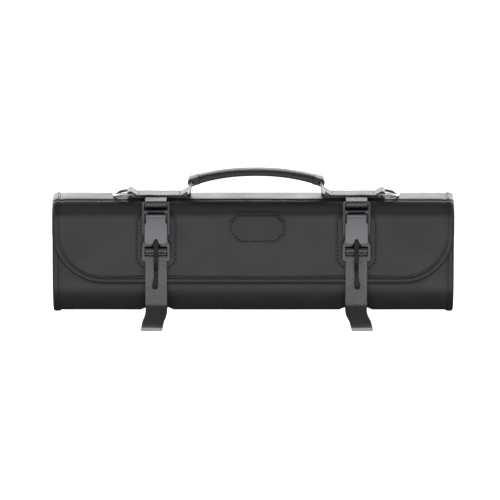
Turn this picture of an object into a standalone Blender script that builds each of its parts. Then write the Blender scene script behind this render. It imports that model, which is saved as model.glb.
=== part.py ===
"""Chef's knife roll, rolled up and strapped shut, lying on its back.

+X runs along the roll, +Y points to the carrying handle, +Z comes out of the front face, and z = 0 is
the table. The origin is at the middle of the footprint.
"""

import math

import bmesh
import bpy
from mathutils import Matrix, Vector

MM = 0.001

# The rolled sheet
ROLL_LENGTH = 460 * MM
ROLL_HEIGHT = 132.5 * MM
ROLL_DEPTH = 66 * MM
OPENED_LENGTH = 702 * MM
SHEET_THICKNESS = 3.2 * MM
LAYER_PITCH = 6.4 * MM
FLAP_EDGE_HEIGHT = 36.5 * MM
FLAP_CORNER = 58 * MM
CREASE_DEPTH = 0.6 * MM
CREASE_HALF_WIDTH = 2.5 * MM
CREASE_FROM_TOP = math.radians(23)
CLEARANCE = 0.35 * MM
CORNER_STEPS = 8

# Outer corners of the roll, in the order that the sheet passes them from the flap's edge
CORNERS = (
    # name, radius
    ("top_front", 20 * MM),
    ("top_back", 22 * MM),
    ("bottom_back", 23 * MM),
    ("bottom_front", 28 * MM),
)

# The binding round the sheet's edge
BINDING_WIDTH = 7 * MM
BINDING_THICKNESS = 1 * MM
BINDING_GAP = 0.3 * MM

# The lined inner flap, which lies on the sheet's inside from the end of the plain closing flap
INNER_FLAP_START = 140 * MM
INNER_FLAP_THICKNESS = 1.2 * MM
INNER_FLAP_MARGIN = 12 * MM

# Patches sewn on the front: a drop is how far the lower edge lies below the roll's top side
PATCH_THICKNESS = 1.2 * MM
LABEL_LENGTH = 64 * MM
LABEL_DROP = 48 * MM
LABEL_HEIGHT = 35 * MM
LABEL_CHAMFER = 11 * MM
LABEL_OFFSET = 5 * MM
PAD_WIDTH = 47 * MM
PAD_DROP = 80 * MM
PAD_HEIGHT = 69 * MM
PAD_CHAMFER = 9 * MM

# Straps
FITTINGS_OFFSET = 3.4 * MM
STRAP_SPACING = 229.2 * MM
WEBBING_WIDTH = 25 * MM
WEBBING_THICKNESS = 1.5 * MM
STRAP_BEND = 8 * MM
FLAP_EDGE_BEND = 5 * MM

# A strap's tail, from the buckle down over the bottom corner to its loose end on the table
TAIL_REACH = 36.5 * MM
TAIL_LEAN = {"left": -7 * MM, "right": 9 * MM}
TAIL_LEAN_FROM = 0.82
TAIL_OUT_OF_BUCKLE = 2 * MM
TAIL_SETTLED_SHARE = 0.614
TAIL_PAST_EDGE = 1.5 * MM
TAIL_EDGE_BEND = 9 * MM
TAIL_CORNER_INSET = 6.5 * MM
TAIL_CORNER_BEND = 20 * MM
TAIL_TOE_LENGTH = 11 * MM
TAIL_TOE_RISE = 1 * MM
TAIL_TOE_BEND = 16 * MM

# The loop that joins a buckle to its band
UPPER_STRAP_WIDTH = 24.4 * MM

# Buckles: q runs up the buckle from its lower edge, h is height above its underside
BUCKLE_WIDTH = 32 * MM
BUCKLE_LENGTH = 68.2 * MM
BUCKLE_DROP = 68.3 * MM
BUCKLE_LIFT = 6.4 * MM
BUCKLE_TILT = math.radians(5)
FRAME_WIDTH = 31.3 * MM
FRAME_START = 31.2 * MM
FRAME_THICKNESS = 4.6 * MM
FRAME_FLOOR = 1.1 * MM
FRAME_ARM = 2.2 * MM
FRAME_CORNER = 2 * MM
CROSS_BAR_WIDTH = 2.8 * MM
TOP_BAR_DIAMETER = 4 * MM
TOP_BAR_FROM_END = 2.2 * MM
SLOT_LENGTH = 5.6 * MM
LADDER_THICKNESS = 3.6 * MM
LADDER_LENGTH = 18 * MM
LADDER_CORNER = 3.5 * MM
BOTTOM_BAR_WIDTH = 5.7 * MM
WINDOW_LENGTH = 11.4 * MM
WINDOW_WIDTH = 25.8 * MM
MIDDLE_BAR_DIAMETER = 2.6 * MM
MIDDLE_BAR_RISE = 1.1 * MM
MIDDLE_BAR_SHARE = 0.56
BAR_SEAT = 1.5 * MM
SHOULDER_LENGTH = 6.5 * MM
PLATE_WIDTH = 26.4 * MM
PLATE_NECK_WIDTH = 24.4 * MM
PLATE_NECK_LENGTH = 10.5 * MM
PLATE_THICKNESS = 5 * MM
PLATE_CORNER = 4 * MM
PLATE_INSET = 0.3 * MM
PLATE_NECK_SLOPE = 1 * MM
PLATE_TO_CROSS_BAR = 2 * MM
NOTCH_HALF_WIDTH = 5.7 * MM
NOTCH_DEPTH = 9 * MM
NOTCH_EYE_RADIUS = 2.2 * MM
CUTTER_PAST = 2 * MM

# Pull tabs
TAB_WIDTH = 5 * MM
TAB_HEAD_WIDTH = 3.4 * MM
TAB_END_WIDTH = 7.5 * MM
TAB_THICKNESS = 1.6 * MM
TAB_PAST_FLAP = 5.5 * MM
TAB_FROM_NOTCH_END = 0.8 * MM
TAB_OUT_OF_BUCKLE = 1 * MM
TAB_BEND = 10 * MM
TAB_SETTLED = 15 * MM
TAB_PAST_EDGE = 1 * MM
TAB_LIFT = 0.2 * MM
TAB_END_DIP = 1.6 * MM

# Bands, rings and handle, all on one centre line along the top side
HANDLE_LINE_HEIGHT = 40.5 * MM
BAND_WIDTH = 25 * MM
BAND_THICKNESS = 3.6 * MM
RING_CLEARANCE = 0.4 * MM
EYE_WALL = 1.95 * MM
D_RING_WIRE = 3.5 * MM
D_RING_INNER_WIDTH = 26 * MM
D_RING_REACH = 19 * MM
D_RING_STRAIGHT = 5 * MM
D_RING_CORNER = 2.5 * MM
D_RING_FROM_END = 86 * MM
D_RING_DROOP = math.radians(7)
HANDLE_RING_WIRE = 3 * MM
HANDLE_RING_INNER_WIDTH = 26 * MM
HANDLE_RING_HEIGHT = 12.4 * MM
HANDLE_RING_CORNER = 3 * MM
HANDLE_RING_LEAN = math.radians(17)
HANDLE_RING_SPACING = 156 * MM
HANDLE_WIDTH = 19 * MM
HANDLE_THICKNESS = 7.5 * MM
HANDLE_RISE = 11.7 * MM
HANDLE_ARCH_POWER = 2.2
CHAPE_LENGTH = 9 * MM
CHAPE_WIDTH = 20 * MM
CHAPE_THICKNESS = 6.7 * MM

BACK_LIFT = CLEARANCE + WEBBING_THICKNESS
TOP_SIDE = ROLL_HEIGHT / 2
BOTTOM_SIDE = -ROLL_HEIGHT / 2
FRONT = BACK_LIFT + ROLL_DEPTH
FLAP_EDGE = BOTTOM_SIDE + FLAP_EDGE_HEIGHT
SHEET_HALF_LENGTH = ROLL_LENGTH / 2 - BINDING_GAP - BINDING_THICKNESS
SHEET_START = FLAP_EDGE + BINDING_GAP + BINDING_THICKNESS
BUCKLE_Y = TOP_SIDE - BUCKLE_DROP
D_RING_SPACING = ROLL_LENGTH - 2 * D_RING_FROM_END
STRAP_X = {
    "left": FITTINGS_OFFSET - STRAP_SPACING / 2,
    "right": FITTINGS_OFFSET + STRAP_SPACING / 2,
}
SIDE_SIGN = {"left": -1, "right": 1}
STRAP_ON_FRONT = PATCH_THICKNESS + 2 * CLEARANCE
TAIL_END = BOTTOM_SIDE - TAIL_REACH

EYE_RISE = CLEARANCE + EYE_WALL + RING_CLEARANCE
D_BAR_Y = TOP_SIDE + EYE_RISE + D_RING_WIRE / 2
HANDLE_BAR_Y = TOP_SIDE + EYE_RISE + HANDLE_RING_WIRE / 2
CHAPE_BAR_Y = HANDLE_BAR_Y + HANDLE_RING_HEIGHT * math.cos(HANDLE_RING_LEAN)
CHAPE_BAR_OFFSET = HANDLE_RING_SPACING / 2 - HANDLE_RING_HEIGHT * math.sin(HANDLE_RING_LEAN)
HANDLE_TOP = CHAPE_BAR_Y + HANDLE_RISE + HANDLE_THICKNESS / 2

# The footprint runs from the strap tails to the handle, so this shift puts its middle at the origin
FOOTPRINT_SHIFT = -(HANDLE_TOP + TAIL_END) / 2


def clear_scene():
    for obj in list(bpy.data.objects):
        bpy.data.objects.remove(obj, do_unlink=True)


def make_collection(name):
    collection = bpy.data.collections.new(name)
    bpy.context.scene.collection.children.link(collection)
    return collection


def make_material(name, colour, roughness, metallic=0.0):
    material = bpy.data.materials.new(name)
    material.use_nodes = True
    shader = material.node_tree.nodes["Principled BSDF"]
    shader.inputs["Base Color"].default_value = (*colour, 1)
    shader.inputs["Roughness"].default_value = roughness
    shader.inputs["Metallic"].default_value = metallic
    material.diffuse_color = (*colour, 1)
    return material


clear_scene()
PARTS = make_collection("chef_knife_roll")
CUTTERS = make_collection("cutters")
ROOT = bpy.data.objects.new("roll_frame", None)
ROOT.location = (0, FOOTPRINT_SHIFT, 0)
PARTS.objects.link(ROOT)

LEATHER = make_material("black_leather", (0.055, 0.057, 0.060), 0.5)
LEATHER_TRIM = make_material("black_leather_trim", (0.045, 0.046, 0.048), 0.45)
LINING = make_material("grey_nylon_lining", (0.05, 0.053, 0.051), 0.8)
WEBBING = make_material("black_webbing", (0.03, 0.03, 0.03), 0.85)
PLASTIC = make_material("grey_buckle_plastic", (0.17, 0.175, 0.19), 0.4)
METAL = make_material("polished_ring_steel", (0.6, 0.6, 0.62), 0.15, 1.0)


def place(obj, material=None):
    """Puts a finished piece in the part's collection, under the frame's empty."""
    for collection in list(obj.users_collection):
        collection.objects.unlink(obj)
    PARTS.objects.link(obj)
    obj.parent = ROOT
    if material:
        obj.data.materials.clear()
        obj.data.materials.append(material)
    return obj


def mesh_object(name, bm, material=None):
    """A finished piece made from a bmesh, with its faces turned outwards."""
    bmesh.ops.recalc_face_normals(bm, faces=bm.faces)
    mesh = bpy.data.meshes.new(name)
    bm.to_mesh(mesh)
    bm.free()
    return place(bpy.data.objects.new(name, mesh), material)


def solidify(obj, thickness, offset):
    modifier = obj.modifiers.new("thickness", "SOLIDIFY")
    modifier.thickness = thickness
    modifier.offset = offset
    modifier.use_even_offset = True
    return obj


# The wound surface: s is the distance round the outermost turn from the flap's edge, n is height above
# the sheet's outer face. Each turn lies one pitch inside the last, and the step is taken at the corners.
def wound_segments():
    """The straights and corners of one turn, as (start, length, kind, data, quarter) rows."""
    quarter = LAYER_PITCH / 4
    top = TOP_SIDE + quarter
    back = BACK_LIFT - 2 * quarter
    bottom = BOTTOM_SIDE - 3 * quarter
    radii = [radius + (i + 0.5) * quarter for i, (_, radius) in enumerate(CORNERS)]
    centres = (
        (top - radii[0], FRONT - radii[0]),
        (top - radii[1], back + radii[1]),
        (bottom + radii[2], back + radii[2]),
        (bottom + radii[3], FRONT - radii[3]),
    )
    rows = []
    start = 0.0
    here = (SHEET_START, FRONT)
    for i, (radius, centre) in enumerate(zip(radii, centres)):
        angle = math.radians(90 - 90 * i)
        corner = (centre[0] + radius * math.cos(angle), centre[1] + radius * math.sin(angle))
        length = math.dist(here, corner)
        rows.append((start, length, "straight", (here, angle), i))
        start += length
        rows.append((start, radius * math.pi / 2, "corner", (centre, radius, angle), i))
        start += radius * math.pi / 2
        angle -= math.pi / 2
        here = (centre[0] + radius * math.cos(angle), centre[1] + radius * math.sin(angle))
    rows.append((start, SHEET_START - here[0], "straight", (here, math.radians(90)), 4))
    return rows


SEGMENTS = wound_segments()
TURN = SEGMENTS[-1][0] + SEGMENTS[-1][1]


def on_roll(s, n=0.0):
    """The (y, z) point at s round the roll and n above the sheet, and the direction that points outwards."""
    turn, rest = divmod(s, TURN)
    start, length, kind, data, quarter = [row for row in SEGMENTS if row[0] <= rest + 1e-9][-1]
    share = min((rest - start) / length, 1.0)
    if kind == "straight":
        (y, z), angle = data
        y += (rest - start) * math.sin(angle)
        z -= (rest - start) * math.cos(angle)
        inset = quarter
    else:
        centre, radius, first = data
        angle = first - share * math.pi / 2
        y = centre[0] + radius * math.cos(angle)
        z = centre[1] + radius * math.sin(angle)
        inset = quarter + share * share * (3 - 2 * share)
    out = n - LAYER_PITCH * (turn + inset / 4) - crease_dip(s)
    normal = (math.cos(angle), math.sin(angle))
    return (y + out * normal[0], z + out * normal[1]), normal


def corner_s(corner, from_start):
    """s at an angle into a corner, measured from where the sheet enters it."""
    start, _, _, (_, radius, _), _ = SEGMENTS[2 * corner + 1]
    return start + radius * from_start


CREASE = corner_s(0, math.pi / 2 - CREASE_FROM_TOP)


def crease_dip(s):
    """Depth of the fold line that runs along the roll where the closing flap turns over the top."""
    return CREASE_DEPTH * max(0.0, 1 - abs(s - CREASE) / CREASE_HALF_WIDTH)


def stations(first, last, extra=()):
    """The s values from first to last that a strip needs: the ends, the corners' steps and any extra ones."""
    values = {first, last, *[s for s in extra if first < s < last]}
    for turn in range(int(first // TURN), int(last // TURN) + 1):
        for start, length, kind, _, _ in SEGMENTS:
            steps = CORNER_STEPS if kind == "corner" else 1
            for i in range(steps + 1):
                s = turn * TURN + start + length * i / steps
                if first < s < last:
                    values.add(round(s, 7))
    return sorted(values)


def wound_length(last):
    points = [on_roll(s)[0] for s in stations(0, last)]
    return sum(math.dist(a, b) for a, b in zip(points, points[1:]))


def s_at_length(length):
    low, high = 0.0, 3 * TURN
    for _ in range(40):
        middle = (low + high) / 2
        low, high = (middle, high) if wound_length(middle) < length else (low, middle)
    return low


SHEET_END = s_at_length(OPENED_LENGTH - 2 * (BINDING_GAP + BINDING_THICKNESS))


def sheet_outline(s):
    """The sheet's half length at s, and the direction in (s, x) that points out of its edge there."""
    from_end = min(s, SHEET_END - s)
    if from_end >= FLAP_CORNER:
        return SHEET_HALF_LENGTH, (0.0, 1.0)
    along = (FLAP_CORNER - from_end) / FLAP_CORNER
    across = math.sqrt(max(0.0, 1 - along * along))
    out = -along if s < SHEET_END / 2 else along
    return SHEET_HALF_LENGTH - FLAP_CORNER * (1 - across), (out, across)


def sheet_stations():
    """Stations of the whole sheet, close together along its four rounded corners."""
    steps = 7
    rounds = [FLAP_CORNER * (1 - math.cos(i * math.pi / 2 / steps)) for i in range(1, steps + 1)]
    folds = [CREASE - CREASE_HALF_WIDTH, CREASE, CREASE + CREASE_HALF_WIDTH]
    return stations(0, SHEET_END, [*rounds, *[SHEET_END - r for r in rounds], *folds])


def strip(name, rows, thickness, material):
    """A sheet wound with the roll. Each row is s, the x of its two edges, and the height of its outer face."""
    bm = bmesh.new()
    last = None
    for s, left, right, n in rows:
        (y, z), _ = on_roll(s, n)
        pair = [bm.verts.new((x, y, z)) for x in (left, right)]
        if last:
            bm.faces.new((last[0], last[1], pair[1], pair[0]))
        last = pair
    obj = mesh_object(name, bm, material)
    outward = on_roll(rows[0][0])[1]
    first = obj.data.polygons[0].normal
    if first.y * outward[0] + first.z * outward[1] < 0:
        obj.data.flip_normals()
    return solidify(obj, thickness, -1)


def loft(name, rings, material, closed):
    """A skin over rings of points, joined end to end or capped."""
    bm = bmesh.new()
    rows = [[bm.verts.new(point) for point in ring] for ring in rings]
    pairs = list(zip(rows, rows[1:] + rows[:1] if closed else rows[1:]))
    for a, b in pairs:
        for i in range(len(a)):
            j = (i + 1) % len(a)
            bm.faces.new((a[i], a[j], b[j], b[i]))
    if not closed:
        bm.faces.new(rows[0])
        bm.faces.new(rows[-1])
    return mesh_object(name, bm, material)


def make_shell():
    rows = []
    for s in sheet_stations():
        half, _ = sheet_outline(s)
        rows.append((s, -half, half, 0.0))
    strip("roll_shell", rows, SHEET_THICKNESS, LEATHER)


def make_binding():
    """A folded tape with its two legs on the sheet's faces, swept once round the sheet's edge."""
    inner = BINDING_GAP
    outer = BINDING_GAP + BINDING_THICKNESS
    section = (
        # out from the sheet's edge, above its outer face
        (-BINDING_WIDTH, inner),
        (-BINDING_WIDTH, outer),
        (outer, outer),
        (outer, -SHEET_THICKNESS - outer),
        (-BINDING_WIDTH, -SHEET_THICKNESS - outer),
        (-BINDING_WIDTH, -SHEET_THICKNESS - inner),
        (inner, -SHEET_THICKNESS - inner),
        (inner, inner),
    )
    rings = []
    line = sheet_stations()
    for side, run in ((1, line), (-1, line[::-1])):
        for s in run:
            half, (out_s, out_x) = sheet_outline(s)
            ring = []
            for out, n in section:
                (y, z), _ = on_roll(s + out * out_s, n)
                ring.append((side * (half + out * out_x), y, z))
            rings.append(ring)
    loft("edge_binding", rings, LEATHER_TRIM, closed=True)


def make_inner_flap():
    """A lining flap, one margin inside the sheet's edge, with the same rounded corners at its far end."""
    half = SHEET_HALF_LENGTH - INNER_FLAP_MARGIN
    radius = FLAP_CORNER - INNER_FLAP_MARGIN
    last = SHEET_END - INNER_FLAP_MARGIN
    steps = 5
    rounds = [last - radius * (1 - math.cos(i * math.pi / 2 / steps)) for i in range(1, steps + 1)]
    rows = []
    for s in stations(INNER_FLAP_START, last, rounds):
        along = max(0.0, radius - (last - s)) / radius
        width = half - radius * (1 - math.sqrt(1 - along * along))
        rows.append((s, -width, width, -SHEET_THICKNESS - CLEARANCE))
    strip("inner_flap", rows, INNER_FLAP_THICKNESS, LINING)


def make_patch(name, x, drop, width, height, chamfer):
    """An octagonal patch on the front, laid over the sheet's curve. Its height is measured along the sheet."""
    first = TOP_SIDE - drop - SHEET_START
    last = first + height
    rows = []
    for s in stations(first, last, [first + chamfer, last - chamfer]):
        half = width / 2 - max(0.0, chamfer - min(s - first, last - s))
        rows.append((s, x - half, x + half, CLEARANCE + PATCH_THICKNESS))
    strip(name, rows, PATCH_THICKNESS, LEATHER_TRIM)


def rounded_path(corners, step=math.radians(12)):
    """A path through (y, z, radius) corner points, with each corner replaced by an arc."""
    path = [Vector(corners[0][:2])]
    for before, corner, after in zip(corners, corners[1:], corners[2:]):
        here = Vector(corner[:2])
        towards = (Vector(before[:2]) - here).normalized()
        away = (Vector(after[:2]) - here).normalized()
        half = towards.angle(away) / 2
        middle = here + (towards + away).normalized() * corner[2] / math.sin(half)
        first = here + towards * corner[2] / math.tan(half)
        turn = math.pi - 2 * half
        spoke = first - middle
        if towards.x * away.y - towards.y * away.x > 0:
            turn = -turn
        steps = max(1, math.ceil(abs(turn) / step))
        for i in range(steps + 1):
            path.append(middle + Matrix.Rotation(turn * i / steps, 2) @ spoke)
    path.append(Vector(corners[-1][:2]))
    return path


def ribbon(name, path, thickness, material, x, width, lean=0.0, lean_from=1.0):
    """A strap of even thickness with its middle along a (y, z) path.

    The width is a number, or a function of the share of the length. The strap leans sideways after lean_from.
    """
    lengths = [0.0]
    for a, b in zip(path, path[1:]):
        lengths.append(lengths[-1] + (b - a).length)
    bm = bmesh.new()
    edge = [bm.verts.new((-1, *point)) for point in path]
    for a, b in zip(edge, edge[1:]):
        bm.edges.new((a, b))
    made = bmesh.ops.extrude_edge_only(bm, edges=bm.edges[:])["geom"]
    bmesh.ops.translate(bm, vec=(2, 0, 0), verts=[v for v in made if isinstance(v, bmesh.types.BMVert)])
    shares = {tuple(round(c, 9) for c in point): run / lengths[-1] for point, run in zip(path, lengths)}
    for vert in bm.verts:
        share = shares[tuple(round(c, 9) for c in vert.co.yz)]
        wide = width(share) if callable(width) else width
        past = max(0.0, share - lean_from) / (1 - lean_from) if lean_from < 1 else 0.0
        vert.co.x = x + vert.co.x * wide / 2 + lean * past * past
    return solidify(mesh_object(name, bm, material), thickness, 0)


def buckle_point(q, h):
    """The (y, z) point at q up the tilted buckle and h above its underside."""
    y = BUCKLE_Y + q * math.cos(BUCKLE_TILT) + h * math.sin(BUCKLE_TILT)
    z = FRONT + BUCKLE_LIFT - q * math.sin(BUCKLE_TILT) + h * math.cos(BUCKLE_TILT)
    return y, z


MIDDLE_BAR_Q = BOTTOM_BAR_WIDTH + WINDOW_LENGTH * MIDDLE_BAR_SHARE
LOOP_RADIUS = MIDDLE_BAR_DIAMETER / 2 + CLEARANCE + WEBBING_THICKNESS / 2


def tail_under_bar():
    """Height of the tail's middle where it passes under the ladder-lock's bottom bar."""
    return -CLEARANCE - WEBBING_THICKNESS / 2


def tangent_angle(centre, radius, point):
    """Direction from centre to where a line through point touches the circle, on its lower side."""
    reach = math.dist(centre, point)
    return math.atan2(point[1] - centre[1], point[0] - centre[0]) + math.acos(radius / reach)


def make_girth_strap(side):
    """From the band, down the back, round the bottom, over the flap's edge, round the lock's bar, and its tail."""
    half = WEBBING_THICKNESS / 2
    n = CLEARANCE + half
    top_edge = HANDLE_LINE_HEIGHT - BAND_WIDTH / 2 - CLEARANCE
    start = SEGMENTS[2][0] + SEGMENTS[2][3][0][1] - top_edge
    centre, radius, _ = SEGMENTS[7][3]
    inset = LAYER_PITCH * 7 / 8
    over_flap = (FLAP_EDGE - CLEARANCE, FRONT + STRAP_ON_FRONT + half)
    leave = tangent_angle(centre, radius - inset + n, over_flap)
    last = corner_s(3, math.radians(180) - leave)
    wrap = [Vector(on_roll(s, n)[0]) for s in stations(start, last)]

    loop_front = MIDDLE_BAR_Q + LOOP_RADIUS
    loop_back = MIDDLE_BAR_Q - LOOP_RADIUS
    loop_top = MIDDLE_BAR_RISE + LOOP_RADIUS
    turn_y = buckle_point(loop_front, 0)[0]
    layer = WEBBING_THICKNESS + CLEARANCE
    settled = over_flap[1] + layer
    corners = [
        (*wrap[-1], 0),
        (*over_flap, FLAP_EDGE_BEND),
        (turn_y, over_flap[1], LOOP_RADIUS),
        (*buckle_point(loop_front, loop_top), LOOP_RADIUS),
        (*buckle_point(loop_back, loop_top), LOOP_RADIUS),
        (*buckle_point(loop_back, tail_under_bar()), WEBBING_THICKNESS),
        (*buckle_point(-TAIL_OUT_OF_BUCKLE, tail_under_bar()), STRAP_BEND),
        (FLAP_EDGE + TAIL_SETTLED_SHARE * (BUCKLE_Y - FLAP_EDGE), settled, STRAP_BEND),
        (FLAP_EDGE - TAIL_PAST_EDGE, settled, TAIL_EDGE_BEND),
        (BOTTOM_SIDE + TAIL_CORNER_INSET, FRONT - TAIL_CORNER_INSET, TAIL_CORNER_BEND),
        (TAIL_END + TAIL_TOE_LENGTH, half + TAIL_TOE_RISE, TAIL_TOE_BEND),
        (TAIL_END, half, 0),
    ]
    path = wrap + rounded_path(corners)[1:]
    ribbon(
        f"girth_strap_{side}",
        path,
        WEBBING_THICKNESS,
        WEBBING,
        STRAP_X[side],
        WEBBING_WIDTH,
        TAIL_LEAN[side],
        TAIL_LEAN_FROM,
    )


def make_upper_strap(side):
    """A loop from the band's front edge round the buckle frame's top bar and back."""
    half = WEBBING_THICKNESS / 2
    centre, radius, _ = SEGMENTS[1][3]
    surface = radius - LAYER_PITCH / 8
    low = surface + CLEARANCE + half
    high = low + WEBBING_THICKNESS + CLEARANCE
    bar = buckle_point(BUCKLE_LENGTH - TOP_BAR_FROM_END, FRAME_THICKNESS / 2)
    turn = TOP_BAR_DIAMETER / 2 + CLEARANCE + half
    reach = math.dist(centre, bar)
    towards = math.atan2(bar[1] - centre[1], bar[0] - centre[0])
    leave = towards - math.acos((low + turn) / reach)
    back = towards - math.acos((high - turn) / reach)
    start = HANDLE_LINE_HEIGHT + BAND_WIDTH / 2 + CLEARANCE

    def arc(middle, size, first, last, steps):
        angles = [first + (last - first) * i / steps for i in range(steps + 1)]
        return [Vector((middle[0] + size * math.cos(a), middle[1] + size * math.sin(a))) for a in angles]

    first = math.asin((start - centre[1]) / low)
    path = arc(centre, low, min(first, leave), leave, 3)
    path += arc(bar, turn, leave + math.pi, back, 14)
    # The outer layer comes straight down and ends level with the inner one, at the band's edge
    landing = Vector((centre[0] + high * math.cos(back), centre[1] + high * math.sin(back)))
    path.append(path[-1].lerp(landing, (path[-1].y - start) / (path[-1].y - landing.y)))
    ribbon(f"upper_strap_{side}", path, WEBBING_THICKNESS, WEBBING, STRAP_X[side], UPPER_STRAP_WIDTH)


def outline_solid(name, outlines, low, high):
    """A mesh solid between two heights, from flat outlines. Outlines inside the first are holes."""
    curve = bpy.data.curves.new(name, "CURVE")
    curve.dimensions = "2D"
    curve.fill_mode = "BOTH"
    curve.extrude = (high - low) / 2
    for points in outlines:
        spline = curve.splines.new("POLY")
        spline.points.add(len(points) - 1)
        for target, (x, y) in zip(spline.points, points):
            target.co = (x, y, 0, 1)
        spline.use_cyclic_u = True
    drawn = bpy.data.objects.new(name + "_outline", curve)
    CUTTERS.objects.link(drawn)
    bpy.context.view_layer.update()
    graph = bpy.context.evaluated_depsgraph_get()
    mesh = bpy.data.meshes.new_from_object(drawn.evaluated_get(graph))
    bpy.data.objects.remove(drawn, do_unlink=True)
    bm = bmesh.new()
    bm.from_mesh(mesh)
    bmesh.ops.translate(bm, vec=(0, 0, (low + high) / 2), verts=bm.verts)
    bmesh.ops.remove_doubles(bm, verts=bm.verts, dist=1e-6)
    bmesh.ops.recalc_face_normals(bm, faces=bm.faces)
    mesh = bpy.data.meshes.new(name)
    bm.to_mesh(mesh)
    bm.free()
    obj = bpy.data.objects.new(name, mesh)
    CUTTERS.objects.link(obj)
    return obj


def rod(name, length, diameter, q, h, sides=16):
    """A round bar across the buckle."""
    bm = bmesh.new()
    turn = Matrix.Translation((0, q, h)) @ Matrix.Rotation(math.pi / 2, 4, "Y")
    bmesh.ops.create_cone(
        bm, cap_ends=True, segments=sides, radius1=diameter / 2, radius2=diameter / 2, depth=length, matrix=turn
    )
    mesh = bpy.data.meshes.new(name)
    bm.to_mesh(mesh)
    bm.free()
    obj = bpy.data.objects.new(name, mesh)
    CUTTERS.objects.link(obj)
    return obj


def combine(obj, tool, operation):
    """Joins or cuts with a tool object, which stays behind as a hidden helper."""
    modifier = obj.modifiers.new(operation.lower(), "BOOLEAN")
    modifier.operation = operation
    modifier.object = tool
    tool.hide_render = True
    tool.display_type = "WIRE"
    tool.parent = obj


def corner_arc(x, y, radius, first, last, steps=4):
    """Points on an arc, in degrees."""
    angles = [math.radians(first + (last - first) * i / steps) for i in range(steps + 1)]
    return [(x + radius * math.cos(a), y + radius * math.sin(a)) for a in angles]


def box_outline(half_width, low, high):
    return [(-half_width, low), (half_width, low), (half_width, high), (-half_width, high)]


def put_on_roll(obj, side, material):
    """Places a buckle part, drawn flat in x and q, on the tilted buckle's plane."""
    place(obj, material)
    y, z = buckle_point(0, 0)
    obj.location = (STRAP_X[side], y, z)
    obj.rotation_euler = (-BUCKLE_TILT, 0, 0)
    return obj


def make_buckle_frame(side):
    """The socket half: a tray between two arms, a cross bar, and the bar that the strap is looped on."""
    half = FRAME_WIDTH / 2
    inner = half - FRAME_ARM
    slot = BUCKLE_LENGTH - TOP_BAR_FROM_END - TOP_BAR_DIAMETER / 2 - SLOT_LENGTH
    end = BUCKLE_LENGTH
    corner = FRAME_CORNER
    outline = [
        (-half, FRAME_START),
        (half, FRAME_START),
        *corner_arc(half - corner, end - corner, corner, 0, 90),
        (inner, end),
        (inner, slot),
        (-inner, slot),
        (-inner, end),
        *corner_arc(-half + corner, end - corner, corner, 90, 180),
    ]
    frame = outline_solid(f"buckle_frame_{side}", [outline], 0, FRAME_THICKNESS)
    tray_end = slot - CROSS_BAR_WIDTH
    tray = outline_solid(
        f"tray_cutter_{side}",
        [box_outline(inner, FRAME_START - CUTTER_PAST, tray_end)],
        FRAME_FLOOR,
        FRAME_THICKNESS + CUTTER_PAST,
    )
    bar = rod(
        f"top_bar_{side}",
        2 * inner + FRAME_ARM,
        TOP_BAR_DIAMETER,
        end - TOP_BAR_FROM_END,
        FRAME_THICKNESS / 2,
    )
    combine(frame, tray, "DIFFERENCE")
    combine(frame, bar, "UNION")
    put_on_roll(frame, side, PLASTIC)


def plate_top():
    """q of the plate's upper edge, just short of the frame's cross bar."""
    slot = BUCKLE_LENGTH - TOP_BAR_FROM_END - TOP_BAR_DIAMETER / 2 - SLOT_LENGTH
    return slot - CROSS_BAR_WIDTH - PLATE_TO_CROSS_BAR


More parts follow.
